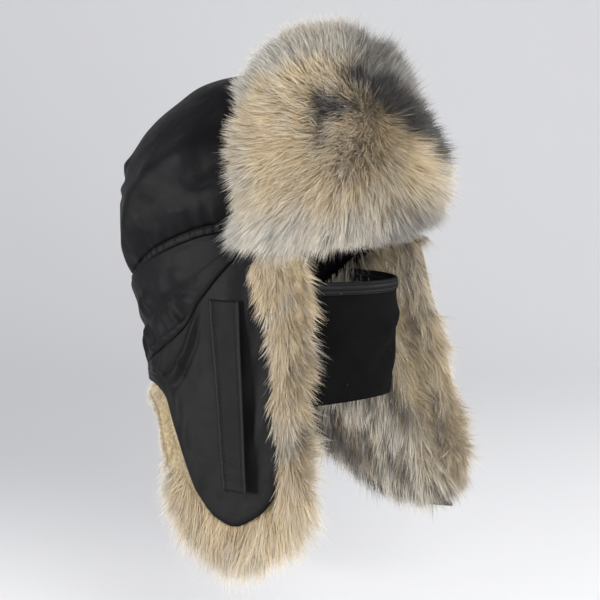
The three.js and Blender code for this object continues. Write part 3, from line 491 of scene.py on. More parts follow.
def nylon(name, tint, stitches=(), rough=0.45, painted_edge_highlights=()):
    """Dense nylon: fine weave, soft crush marks, a dull sheen, scattered lint specks."""
    f = Finish(name, Specular_IOR_Level=0.055)
    place = f.place()
    cloud = f.noise(place, 26, 3)
    crush = f.noise(place, 95, 4, 0.6)
    thread = weave(f, 0.00042)
    colour = f.blend(cloud.between(0.3, 0.72), [c * 0.82 for c in tint], [c * 1.22 for c in tint])
    colour = f.blend(thread * 0.25, colour, [c * 1.5 for c in tint])
    lint = f.noise(place, 600, 1).between(0.82, 0.86) * 0.15
    colour = f.blend(lint, colour, (0.16, 0.15, 0.14))
    ridge = (f.noise(place, 38, 1, 0.4) - 0.5).math("ABSOLUTE").between(0.0, 0.14)
    normal = f.bump(cloud * 1.2 + crush * 0.6 + ridge * 0.34, 0.0012, 0.65)
    normal = f.bump(thread, 0.00006, 0.5, normal)
    for row in stitches:
        seam = stitch_row(f, *row)
        colour = f.blend(seam * 0.6, colour, (0.006, 0.006, 0.007))
        normal = f.bump(1 - seam, 0.0006, 0.8, normal)
    # Lighter lines along folded edges where given: painted highlights for the light those folds
    # catch.
    for where, upright in painted_edge_highlights:
        edge = stitch_row(f, where, 0, 0.0008, upright)
        colour = f.blend(edge * 0.6, colour, [c * 3 for c in tint])
    gloss = crush * 0.16 + (rough - 0.1)
    return f.use(Base_Color=colour, Roughness=gloss + thread * 0.05, Normal=normal)


def stitch_row(f, where, pitch=0.0026, wide=0.0005, upright=False):
    """A row of stitches at a distance across the cloth, or along it where upright."""
    along, across = f.cloth_map()
    if upright:
        along, across = across, along
    away = (across - where).math("ABSOLUTE")
    in_line = 1 - away.between(wide * 0.6, wide * 1.4)
    if not pitch:
        return in_line
    dash = (along * (2 * math.pi / pitch)).math("SINE").between(-0.5, 0.1)
    return in_line * dash


def knit(name, tint, ribs=0.0012, rows=0):
    """Soft matte knit with a fine rib and a fuzzy surface."""
    f = Finish(name, Specular_IOR_Level=0.05)
    along, across = f.cloth_map()
    place = f.place()
    rib = (along * (2 * math.pi / ribs)).math("SINE") * 0.5 + 0.5
    loop = ((across * 2 + along) * (2 * math.pi / (ribs * 1.1))).math("SINE") * 0.5 + 0.5
    fuzz = f.noise(place, 700, 3, 0.7)
    cloud = f.noise(place, 35, 3)
    colour = f.blend(cloud.between(0.3, 0.7), [c * 0.8 for c in tint], [c * 1.25 for c in tint])
    colour = f.blend(fuzz.between(0.6, 0.85) * 0.4, colour, [c * 3 for c in tint])
    # Where rows are given, darker lines between the ribs: painted shade in the grooves.
    if rows:
        row = (across * (2 * math.pi / rows)).math("SINE").between(-0.4, 0.6)
        colour = f.blend(row, [c * 0.45 for c in tint], colour)
    lint = f.noise(place, 330, 0).between(0.87, 0.9) * 0.3
    colour = f.blend(lint, colour, (0.2, 0.19, 0.18))
    normal = f.bump(rib * 0.5 + loop * 0.5 + fuzz, 0.00025, 0.5)
    return f.use(Base_Color=colour, Roughness=fuzz * 0.12 + 0.8, Normal=normal)


GOLD, SAND, CREAM = (0.47, 0.345, 0.175), (0.57, 0.455, 0.28), (0.75, 0.71, 0.63)
GREY, SMOKE, CHARCOAL = (0.43, 0.42, 0.39), (0.24, 0.21, 0.17), (0.036, 0.034, 0.033)
BROWN = (0.28, 0.18, 0.09)


def long_hair(name):
    """Long hair: brown at the root, golden along its length, pale, grey or black at the tip."""
    f = Finish(name, Specular_IOR_Level=0.35, Sheen_Weight=0.15, Sheen_Roughness=0.5)
    along, hair, lock = (f.strand(n) for n in ("along", "hair", "lock"))
    dark, grey, brown = (f.strand(n) for n in ("dark", "grey", "brown"))
    shaft = f.blend(hair, GOLD, SAND)
    shaft = f.blend(brown, shaft, BROWN)
    shaft = f.blend(grey * 0.85, shaft, GREY)
    root = f.blend(0.14, shaft, BROWN)
    colour = f.blend(along.between(0.0, 0.45), root, shaft)
    tip = f.blend(grey, f.blend(lock, SAND, CREAM), f.blend(hair, GREY, CREAM))
    colour = f.blend(along.between(0.5, 0.95) * (0.55 + hair * 0.4), colour, tip)
    # Towards charcoal by the dark key: black fur marks, and painted shadow under the mask on the
    # far flap.
    colour = f.blend(dark * along.between(0.05, 0.5), colour, CHARCOAL)
    streak = f.noise(f.place(), 240, 2)
    colour = f.blend(streak.between(0.4, 0.8) * 0.1, colour, SMOKE)
    return f.use(Base_Color=colour, Roughness=0.62 - hair * 0.14)


def undercoat(name, tint):
    """Short dense wool under the long hair."""
    f = Finish(name, Specular_IOR_Level=0.2)
    place = f.place()
    wool = f.noise(place, 420, 4, 0.7)
    patch = f.noise(place, 40, 3)
    colour = f.blend(wool.between(0.3, 0.7), [c * 0.6 for c in tint], tint)
    colour = f.blend(patch.between(0.45, 0.7) * 0.25, colour, SMOKE)
    return f.use(Base_Color=colour, Roughness=wool * 0.1 + 0.85, Normal=f.bump(wool, 0.002, 0.9))


# Making pieces.
def add_object(name, data):
    made = bpy.data.objects.new(name, data)
    bpy.context.scene.collection.objects.link(made)
    return made


def shade_smooth(mesh):
    mesh.polygons.foreach_set("use_smooth", np.ones(len(mesh.polygons), bool))


def set_points(bm, columns, rows, place, size):
    """Moves a new grid's points to place(u, v) and gives it cloth coordinates in metres."""
    bmesh.ops.create_grid(bm, x_segments=columns, y_segments=rows, size=0.5)
    verts = [v for v in bm.verts if not v.tag]
    at = np.array([v.co[:2] for v in verts]) + 0.5
    points = place(at[:, 0], at[:, 1]) * MM
    cloth = bm.loops.layers.uv.get("cloth") or bm.loops.layers.uv.new("cloth")
    for face in bm.faces:
        if not face.tag:
            for loop in face.loops:
                x, y = loop.vert.co[:2]
                loop[cloth].uv = ((x + 0.5) * size[0], (y + 0.5) * size[1])
            face.tag = True
    for vert, p in zip(verts, points):
        vert.co = p
        vert.tag = True


def piece_from(bm, name, finish, node, slot, wall=0.0, weld=1e-6):
    """A finished piece that stands for a CAD node: welded, facing out and with its wall."""
    bmesh.ops.remove_doubles(bm, verts=bm.verts, dist=weld)
    bmesh.ops.dissolve_degenerate(bm, edges=bm.edges, dist=1e-7)
    bmesh.ops.recalc_face_normals(bm, faces=bm.faces)
    if wall:
        centre = Vector((0, 0, -0.1))
        facing = sum(f.normal.dot(f.calc_center_median() - centre) for f in bm.faces)
        if facing < 0:
            bmesh.ops.reverse_faces(bm, faces=bm.faces)
    mesh = bpy.data.meshes.new(name)
    bm.to_mesh(mesh)
    bm.free()
    shade_smooth(mesh)
    mesh.materials.append(finish)
    piece = add_object(name, mesh)
    if wall:
        thick = piece.modifiers.new("wall", "SOLIDIFY")
        thick.thickness, thick.offset = wall * MM, -1
    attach(piece, "root")
    if node:
        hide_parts(node)
    return piece


def cloth(name, columns, rows, place, size, finish, node, slot, wall):
    bm = bmesh.new()
    set_points(bm, columns, rows, place, size)
    return piece_from(bm, name, finish, node, slot, wall)


def pillow(name, columns, rows, place, node, slot):
    """Wool as a closed body: place(u, v, inside) gives its two faces, which meet at the edges."""
    bm = bmesh.new()
    for inside in (False, True):
        set_points(bm, columns, rows, lambda u, v: place(u, v, inside), (0.2, 0.2))
    return piece_from(bm, name, wool, node, slot, weld=2e-5)


black = (0.0048, 0.0046, 0.0052)
crown_nylon = nylon("crown_nylon", black)
band_nylon = nylon("band_nylon", black, [(0.0273,), (0.0282,), (0.0015,)])
flap_nylon = nylon("flap_nylon", (0.006, 0.0057, 0.0062))
webbing = nylon(
    "strap_webbing",
    (0.0068, 0.0065, 0.0068),
    [(0.0046, 0.0034, 0.0009, True), (0.0226, 0.003, 0.0004, True)],
    0.55,
    # painted highlight lines along both folded edges of the strap
    [(0.0016, True), (0.0256, True)],
)
brim_nylon = nylon("brim_nylon", black)
mask_knit = knit("mask_knit", (0.0026, 0.0026, 0.0028))
# The binding's rib rows carry painted shade in the grooves between them.
binding_knit = knit("binding_rib", (0.017, 0.017, 0.018), 0.0009, 0.0024)
wool = undercoat("undercoat", (0.42, 0.33, 0.2))

# Shares of the crown cover's own length where its outside ends and its inside starts.
OUTSIDE_ENDS, INSIDE_STARTS = 0.72, 0.76
INNER_LIP = CROWN_LIP + CROWN_EDGE_WALL - CROWN_WALL


def crown_shell(u, w):
    """The crown's cover from its top down to the seam, round the turned edge and up inside."""
    turn = 360 * u
    way = np.clip(w / OUTSIDE_ENDS, 0, 1) ** 1.3
    up = np.clip((w - INSIDE_STARTS) / (1 - INSIDE_STARTS), 0, 1)
    outer = crown_point(turn, way, 0, CROWN_LIP, 1)
    inner = crown_point(turn, (1 - up) ** 1.3, -CROWN_WALL, INNER_LIP, 0.3)
    seam = seam_z(turn)
    inner[:, 2] = seam - (inner[:, 2] - seam) * seam / (CROWN_TOP - seam)
    edge = np.clip((w - OUTSIDE_ENDS) / (INSIDE_STARTS - OUTSIDE_ENDS), 0, 1)[:, None]
    turned = mix(outer, inner, edge)
    turned[:, 2] += 0.25 * np.sin(math.pi * edge[:, 0])
    inner = np.where((w >= INSIDE_STARTS)[:, None], inner, turned)
    return np.where((w <= OUTSIDE_ENDS)[:, None], outer, inner)


crown = cloth(
    "crown_cover",
    250,
    104,
    crown_shell,
    (0.66, 0.3),
    crown_nylon,
    "crown",
    "crown_nylon",
    0,
)


def seam_roll(u, w):
    """The gathered roll under the crown's overhang, as a closed ring."""
    turn, angle = 360 * u, 2 * math.pi * w
    across = np.sign(np.cos(angle)) * np.abs(np.cos(angle)) ** 0.7
    tall = np.sign(np.sin(angle)) * np.abs(np.sin(angle)) ** 0.6
    rib = np.maximum(0, across) * (0.5 * gathers(turn, 96, 2) + 0.35 * gathers(turn, 61, 9) - 0.55)
    off = -SEAM_BAND_WALL / 2 + across * SEAM_BAND_WALL / 2 + rib
    z = seam_z(turn) - GAP - SEAM_BAND_HEIGHT / 2 + tall * SEAM_BAND_HEIGHT / 2
    return seam_ring(turn, off, z)


roll = cloth(
    "seam_roll",
    480,
    12,
    seam_roll,
    (0.62, 0.02),
    band_nylon,
    "seam_band",
    "band_nylon",
    0,
)

band = cloth(
    "band_cloth",
    360,
    40,
    lambda u, v: band_point(mix(BAND_END_TURN, 360 - BAND_END_TURN, u), 1 - v, 0, 1),
    (0.46, 0.062),
    band_nylon,
    "lower_band",
    "band_nylon",
    BAND_WALL - 0.6,
)

for hand, side in ((-1, "right"), (1, "left")):
    shell = cloth(
        side + "_flap_shell",
        90,
        90,
        lambda u, v, hand=hand: flap_point(hand, u, v, 0, 1),
        (0.17, 0.17),
        flap_nylon,
        side + "_ear_flap",
        "flap_nylon",
        FLAP_WALL - 0.4,
    )


STRAP_TOP_SHARE, STRAP_LOW_SHARE, STRAP_EDGE = -0.175, -0.335, 0.86


def strap_at(hand, u, v, off):
    length = STRAP_LENGTH[hand]
    z = below_top(STRAP_TOP) - length * v
    middle = mix(STRAP_TOP_SHARE, STRAP_LOW_SHARE, v * length / FLAP_SWING)
    share = middle + (0.5 - u) * mix(STRAP_WIDTH, STRAP_END_WIDTH, v) / (BAND_FRONT * 1.15)
    free = smooth((v - 0.04) / 0.3)
    lift = mix(0.15, 1.2, smooth(v / 0.12))
    lift = lift + free * (STRAP_LIFT * u**2 + 0.8 * np.sin(4.2 * v + 1) ** 2)
    across = np.abs(2 * u - 1) - STRAP_EDGE
    edge = np.maximum(across, 0) / (1 - STRAP_EDGE)
    hem = np.exp(-(((v - 0.955) / 0.02) ** 2))
    piping = 0.6 * np.exp(-((across / 0.07) ** 2))
    return flap_at(hand, share, z, GAP + lift + off + piping - 0.5 * edge**2 - 0.5 * hem)


for hand, side in ((-1, "right"), (1, "left")):
    length = STRAP_LENGTH[hand]
    strap = cloth(
        side + "_strap_webbing",
        20,
        70,
        lambda u, v, hand=hand: strap_at(hand, u, v, STRAP_WALL),
        (0.027, length * MM),
        webbing,
        side + "_strap",
        "strap_webbing",
        STRAP_WALL - 0.1,
    )

backing = cloth(
    "brim_back",
    60,
    20,
    lambda u, v: brim_point(mix(-BRIM_TURN, BRIM_TURN, u), v, BRIM_WALL, 0),
    (0.24, 0.12),
    brim_nylon,
    "brim_backing",
    "crown_nylon",
    BRIM_WALL - 0.2,
)

BINDING_SHARE = (BINDING_HEIGHT - GAP) / MASK_HEIGHT
mask = cloth(
    "mask_knit_front",
    110,
    60,
    lambda u, v: mask_point(mix(-MASK_TURN, MASK_TURN, u), mix(1, BINDING_SHARE, v), 0, 1),
    (0.24, 0.078),
    mask_knit,
    "face_mask",
    "mask_knit",
    MASK_WALL - 0.1,
)


def binding_loop(u, w):
    """The ribbed binding as a flattened tube along the mask's top edge."""
    turn, angle = mix(-MASK_TURN, MASK_TURN, u), 2 * math.pi * w
    across = np.sign(np.cos(angle)) * np.abs(np.cos(angle)) ** 0.45
    tall = np.sign(np.sin(angle)) * np.abs(np.sin(angle)) ** 0.6
    rib = np.maximum(0, across) * BINDING_RIB * (0.5 + 0.5 * np.cos(5 * math.pi * tall))
    p = mask_point(turn, 0 * u, 0.7 - BINDING_WALL / 2 + across * BINDING_WALL / 2 + rib, 0)
    p[:, 2] -= BINDING_HEIGHT / 2 - tall * BINDING_HEIGHT / 2
    return p


binding = cloth(
    "binding",
    120,
    36,
    binding_loop,
    (0.24, 0.026),
    binding_knit,
    "mask_binding",
    "binding_rib",
    0,
)


# Fur.
hair = long_hair("long_hair")
DOWN = np.array([0.0, 0.0, -1.0])
HAIR_MIDDLE = 0.52
GUARD_SHARE, GUARD_LONGER, LONGEST = 0.14, 1.38, 1.3
BRIM_HAIRS, LINING_HAIRS, NAPE_HAIRS = 22, 20, 14


def even(count, seed=0):
    """Evenly scattered places over a unit square."""
    n = np.arange(count) + 1 + 97 * seed
    return (n * 0.7548776662466927) % 1, (n * 0.5698402909980532) % 1


class Tuft:
    """Locks of hair over a patch of a surface: where they stand, how they lie and their colour,
    with painted shadow where a patch carries it.
    """

    def __init__(
        self, seed, count, hairs, reach, root, way, face, length, dye, sag=0.1, wide=0.55, close=1.0
    ):
        self.rng = np.random.default_rng(seed)
        u, v = even(count, seed)
        jitter = self.rng.normal(0, 0.3, (2, count)) * reach
        self.u, self.v = np.clip(u + jitter[0], 0, 1), np.clip(v + jitter[1], 0, 1)
        self.count, self.hairs, self.reach = count, hairs, reach
        self.root, self.way, self.face = root, way, face
        self.length, self.dye, self.sag, self.wide, self.close = length, dye, sag, wide, close

    def comb(self):
        rng, m = self.rng, self.hairs
        total = self.count * m
        cu, cv = np.repeat(self.u, m), np.repeat(self.v, m)
        spread = rng.normal(0, 0.5, (2, total)) * self.reach
        su, sv = np.clip(cu + spread[0], 0, 1), np.clip(cv + spread[1], 0, 1)
        lock_way = unit(self.way(self.u, self.v) + rng.normal(0, 0.16, (self.count, 3)))
        lock_way = np.repeat(lock_way, m, 0)
        way = unit(lock_way + rng.normal(0, 0.14, (total, 3)))
        size = np.repeat(np.clip(1 + 0.12 * rng.normal(0, 1, self.count), 0.75, 1.22), m)
        usual = self.length(cu, cv)
        long = usual * size * rng.uniform(0.62, 1.1, total)
        guard = rng.random(total) < GUARD_SHARE
        long = np.minimum(long * np.where(guard, GUARD_LONGER, 1), LONGEST * usual)
        gather = self.close * np.repeat(rng.uniform(0.2, 0.65, self.count), m)
        gather = gather * (rng.random(total) > 0.15)
        own, shared = self.root(su, sv), self.root(cu, cv)
        t = np.array([0, HAIR_MIDDLE, 1.0])[None, :, None]
        reachout = long[:, None, None] * t
        droop = DOWN * self.sag * reachout * t
        bend = rng.normal(0, 0.07, (total, 1, 3)) * reachout * t
        own_line = own[:, None] + way[:, None] * reachout + droop + bend
        lock_line = shared[:, None] + lock_way[:, None] * reachout + droop
        path = mix(own_line, lock_line, gather[:, None, None] * t**1.4)
        face = unit(self.face(cu, cv) + rng.normal(0, 0.45, (total, 3)))
        side = unit(np.cross(way, face))
        wide = self.wide * rng.uniform(0.75, 1.25, total) * np.where(guard, 0.65, 1)
        dye = {"hair": rng.random(total), "lock": np.repeat(rng.random(self.count), m)}
        for key, value in self.dye(su, sv, own).items():
            dye[key] = np.clip(value + rng.normal(0, 0.1, total), 0, 1)
        return path, side, wide, dye


def hair_piece(name, tufts):
    """Joins tufts of hair into one piece: each hair is a ribbon that ends in a point."""
    paths, sides, widths, dyes = zip(*(t.comb() for t in tufts))
    path, side, wide = np.concatenate(paths), np.concatenate(sides), np.concatenate(widths)
    count = len(path)
    half = 0.5 * wide[:, None, None] * np.array([1.0, 0.85])[None, :, None] * side[:, None]
    points = np.empty((count, 5, 3))
    points[:, 0:4:2], points[:, 1:4:2] = path[:, :2] - half, path[:, :2] + half
    points[:, 4] = path[:, 2]
    corners = np.array([0, 1, 3, 2, 2, 3, 4])
    mesh = bpy.data.meshes.new(name)
    mesh.vertices.add(count * 5)
    mesh.vertices.foreach_set("co", (points * MM).astype(np.float32).ravel())
    mesh.loops.add(count * 7)
    base = 5 * np.arange(count)[:, None]
    mesh.loops.foreach_set("vertex_index", (base + corners).astype(np.int32).ravel())
    mesh.polygons.add(count * 2)
    starts = 7 * np.arange(count)[:, None] + np.array([0, 4])
    mesh.polygons.foreach_set("loop_start", starts.astype(np.int32).ravel())
    shade_smooth(mesh)
    mesh.update(calc_edges=True)
    keys = {"along": np.tile(np.array([0, 0, HAIR_MIDDLE, HAIR_MIDDLE, 1.0]), count)}
    for key in ("hair", "lock", "dark", "grey", "brown"):
        keys[key] = np.repeat(np.concatenate([d[key] for d in dyes]), 5)
    for key, value in keys.items():
        strand = mesh.attributes.new(key, "FLOAT", "POINT")
        strand.data.foreach_set("value", value.astype(np.float32))
    cells = math.ceil(math.sqrt(count))
    corner = np.stack([np.arange(count) % cells, np.arange(count) // cells], -1)[:, None] / cells
    spots = np.array([(0, 0), (1, 0), (0.05, HAIR_MIDDLE), (0.95, HAIR_MIDDLE), (0.5, 1)])
    uv = corner + (0.14 + 0.72 * spots[corners]) / cells
    mesh.uv_layers.new(name="OFBake").uv.foreach_set("vector", uv.astype(np.float32).ravel())
    mesh.materials.append(hair)
    piece = add_object(name, mesh)
    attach(piece, "root")


def spot(a, b, at_a, at_b, wide_a, wide_b):
    """A soft round patch, 1 at its middle."""
    return np.exp(-(((a - at_a) / wide_a) ** 2) - ((b - at_b) / wide_b) ** 2)


def streaks(a, b, seed, low=0.15, high=0.6):
    return smooth((crumple(a, b, seed, 3) - low) / (high - low))


# Brim.
BRIM_SEAT = BRIM_WALL + FUR_SEAT


def brim_turn(u):
    return mix(-1, 1, u) * (BRIM_TURN + 2.5)


def brim_rim(u, v):
    sides = [1 - u / 0.06, (u - 0.94) / 0.06]
    return np.maximum.reduce([*sides, 1 - v / 0.12, (v - 0.5) / 0.5, 0 * u])


def brim_mound(u, v, off=None, share=0.62):
    depth = share * mix(BRIM_PILE, 5, brim_rim(u, v)) if off is None else off
    return brim_point(brim_turn(u), v, BRIM_SEAT + depth, BRIM_FUR_PAST)


def brim_face(u, v):
    p = brim_mound(u, v, 0)
    return unit((brim_mound(u, v, 10) - p) * [1, 1, 0] + [0, 0, 1e-6])


def brim_way(u, v):
    """Hair fans out from a little below the middle of the brim."""
    face = brim_face(u, v)
    aside = np.stack([-face[:, 1], face[:, 0], 0 * u], -1)
    rim = np.clip(brim_rim(u, v), 0, 1)[:, None]
    spread = 0.95 * np.tanh(2.4 * (2 * u - 0.92)) + 0.5 * crumple(15 * u, 9 * v, 23)
    rise = 1.0 * np.tanh(2.6 * (v - 0.5)) + 0.5 * crumple(13 * u, 9 * v, 24)
    return unit(face * mix(0.62, 0.32, rim) + aside * spread[:, None] - DOWN * rise[:, None])


def brim_dye(u, v, p):
    a, b = brim_turn(u), v
    mottle = 0.6 + 0.6 * streaks(a * 0.5, b * 22, 11, -0.6, 0.5)
    hook = spot(a, b, -33.5, 0.58, 2.4, 0.1) + 0.8 * spot(a, b, -25.5, 0.655, 7.5, 0.03)
    ridge = mix(0.77, 0.56, np.clip((a + 17) / 28, 0, 1))
    tall = mix(0.055, 0.11, smooth((a + 18) / 20))
    band = np.exp(-(((b - ridge) / tall) ** 2)) * mix(0.6, 1, smooth((a + 24) / 16))
    band = band * smooth((a + 28) / 12)
    above = smooth((b - ridge - 0.02) / 0.08) * smooth((a + 22) / 10)
    dark = (2.0 * hook + 2.3 * band + 0.55 * above) * mottle
    dark = dark + 0.6 * smooth((0.42 - b) / 0.25) * smooth((a + 13) / 12)
    dark = dark + 0.25 * streaks(a * 0.5, b * 9, 14, 0.2, 0.7) * smooth((0.3 - b) / 0.2)
    dark = dark + 0.16 * smooth((b - 0.8) / 0.1)
    grey = 0.8 * smooth((b - 0.8) / 0.1) + 0.9 * above + 0.7 * spot(a, b, 6, 0.12, 10, 0.16)
    grey = grey + 0.4 * streaks(a * 0.35, b * 9, 12) + 0.75 * smooth((0.3 - b) / 0.22)
    grey = grey + 0.4 * smooth((-56 - a) / 6) + 0.5 * smooth((a - 8) / 12)
    brown = 0.5 * spot(a, b, -27, 0.44, 6, 0.15) + 0.5 * spot(a, b, -27.5, 0.58, 5, 0.05)
    brown = brown + 0.25 * streaks(a * 0.3, b * 10, 13)
    return {"dark": dark, "grey": grey, "brown": brown}


def brim_length(u, v):
    ends = (np.abs(2 * u - 1) - 0.55) / 0.45
    edge = np.maximum.reduce([ends, (0.35 - v) / 0.35, (v - 0.6) / 0.4, 0 * u])
    rim = 19 + 7 * smooth((v - 0.75) / 0.2) * smooth((u - 0.1) / 0.3)
    rim = rim - mix(-4, 4, smooth((u - 0.2) / 0.15)) * smooth((0.25 - v) / 0.25)
    return mix(26, rim, smooth(edge))


def brim_closed(u, v, inside):
    """Front and back of the brim's wool, meeting all round the edge."""
    swell = (1 - np.abs(2 * u - 1) ** 10) * (1 - np.abs(2 * v - 1) ** 8)
    depth = 0.55 * mix(BRIM_PILE, 7, np.clip(brim_rim(u, v), 0, 1)) * swell**0.5
    bumps = 0.8 * crumple(60 * u, 30 * v, 21)
    return brim_mound(u, v, 0 * u if inside else depth + bumps * swell)


pillow("brim_wool", 72, 36, brim_closed, "brim_fur", "brim_fur")


def brim_patch(low, high, bottom=0.0, top=1.0):
    """Readings of the brim over part of its width and height."""

    def read(f):
        return lambda u, v, *rest: f(mix(low, high, u), mix(bottom, top, v), *rest)

    readings = {"root": brim_mound, "way": brim_way, "face": brim_face}
    readings.update(length=brim_length, dye=brim_dye)
    return {name: read(f) for name, f in readings.items()}


def brim_back_patch(low, high):
    """Short hair that leans back over the top edge of the brim."""

    def root(u, v):
        return brim_mound(mix(low, high, u), 0.985 + 0 * v, 6 * v)

    def way(u, v):
        lean = 0.7 + 0.3 * crumple(30 * u, v, 25)
        return unit(-DOWN - brim_face(mix(low, high, u), 1 + 0 * v) * lean[:, None])

    def length(u, v):
        return 13 + 0 * u

    return brim_patch(low, high, 0.97, 1) | {"root": root, "way": way, "length": length}


for side, seed, low, high, end in (
    ("right", 3, 0.0, 0.5, (0.0, 0.02)),
    ("left", 4, 0.5, 1.0, (0.98, 1.0)),
):
    rows = [
        (0, 2120, 0.02, brim_patch(low, high), 0.5),
        (10, 230, 0.03, brim_patch(low, high, 0, 0.03), 0.42),
        (20, 240, 0.03, brim_patch(low, high, 0.96, 1), 0.42),
        (30, 130, 0.04, brim_patch(*end), 0.42),
        (40, 170, 0.03, brim_back_patch(low, high), 0.42),
    ]
    tufts = [
        Tuft(seed + more, count, BRIM_HAIRS, reach, **patch, wide=wide)
        for more, count, reach, patch, wide in rows
    ]
    hair_piece("brim_hair_" + side, tufts)


# Flap linings.
FLAP_SEAT = -FLAP_WALL - FUR_SEAT
TOP_PART = 0.14


def flap_rim(u, v):
    return np.clip(np.maximum(1 - u / 0.14, (v - 0.86) / 0.14), 0, 1)


def flap_pile(u, v):
    return mix(FLAP_PILE * mix(1, 0.45, smooth((u - 0.5) / 0.5)), FUR_EDGE, smooth(flap_rim(u, v)))


def flap_skin(hand, u, v, depth):
    """A point of the lining: depth 0 on the shell's side, 1 on the head's side."""
    off = FLAP_SEAT + 3.2 * smooth(flap_rim(u, v)) * (1 - depth) - depth * flap_pile(u, v)
    return flap_fur_point(hand, u, v, off, 1)


def flap_frame(hand, u, v):
    """Directions at a point of a lining: away from the head, forward along it and down it."""

    def at(s, t, off=0):
        return flap_fur_point(hand, s, t, FLAP_SEAT + off, 1)

    step = 0.01
    front, low = np.maximum(u - step, 0), np.minimum(v + step, 1)
    out = unit(at(u, v, 2) - at(u, v))
    return out, unit(at(front, v) - at(front + step, v)), unit(at(u, low) - at(u, low - step))


def lining_closed(hand, u, v, inside):
    swell = (1 - np.abs(2 * u - 1) ** 12) * (1 - np.abs(2 * v - 1) ** 12)
    depth = 0.62 * swell**0.5
    bumps = crumple(26 * u, 26 * v, 31) * swell
    p = flap_skin(hand, u, v, np.where(inside, depth, 0.12))
    shift = np.where(inside, -bumps, 0)
    return p + outward(p) * shift[:, None]


def flap_dye(hand):
    def dye(u, v, p):
        if hand < 0:
            edge = smooth((v - 0.9) / 0.1) * smooth((u - 0.45) / 0.3)
            low = smooth((v - 0.15) / 0.3)
            dark = 0.2 * edge + 0.35 * streaks(u * 30, v * 26, 41, 0.1, 0.7) * low
            dark = dark + 0.8 * spot(u, v, 0.01, 0.74, 0.05, 0.025)
            grey = 0.2 + 0.4 * streaks(u * 18, v * 14, 42, 0.0, 0.7) + 0.4 * edge
            brown = 0.15 + 0.4 * streaks(u * 20, v * 22, 43, -0.1, 0.7) * low
        else:
            tan = smooth((0.2 - u) / 0.16)
            # Painted shadow: below the mask and neck, the far flap's fur is made darker, browner
            # and less grey where shade falls (under and shade).
            under = smooth((u - 0.45) / 0.2) * smooth((0.75 - v) / 0.2)
            shade = spot(u, v, 0.54, 0.78, 0.16, 0.12)
            dark = 1.1 * streaks(u * 48, v * 16, 44, 0.0, 0.6) * (1 - 0.5 * tan)
            dark = 0.1 + dark * mix(0.5, 1, smooth(v / 0.3)) + 0.4 * under + 1.3 * shade
            grey = 0.8 - 0.6 * tan + 0.3 * streaks(u * 20, v * 12, 45) - shade
            brown = 0.45 * streaks(u * 30, v * 14, 46, 0.0, 0.7) + 0.35 * under + 0.7 * shade
        return {"dark": dark, "grey": grey, "brown": brown}

    return dye


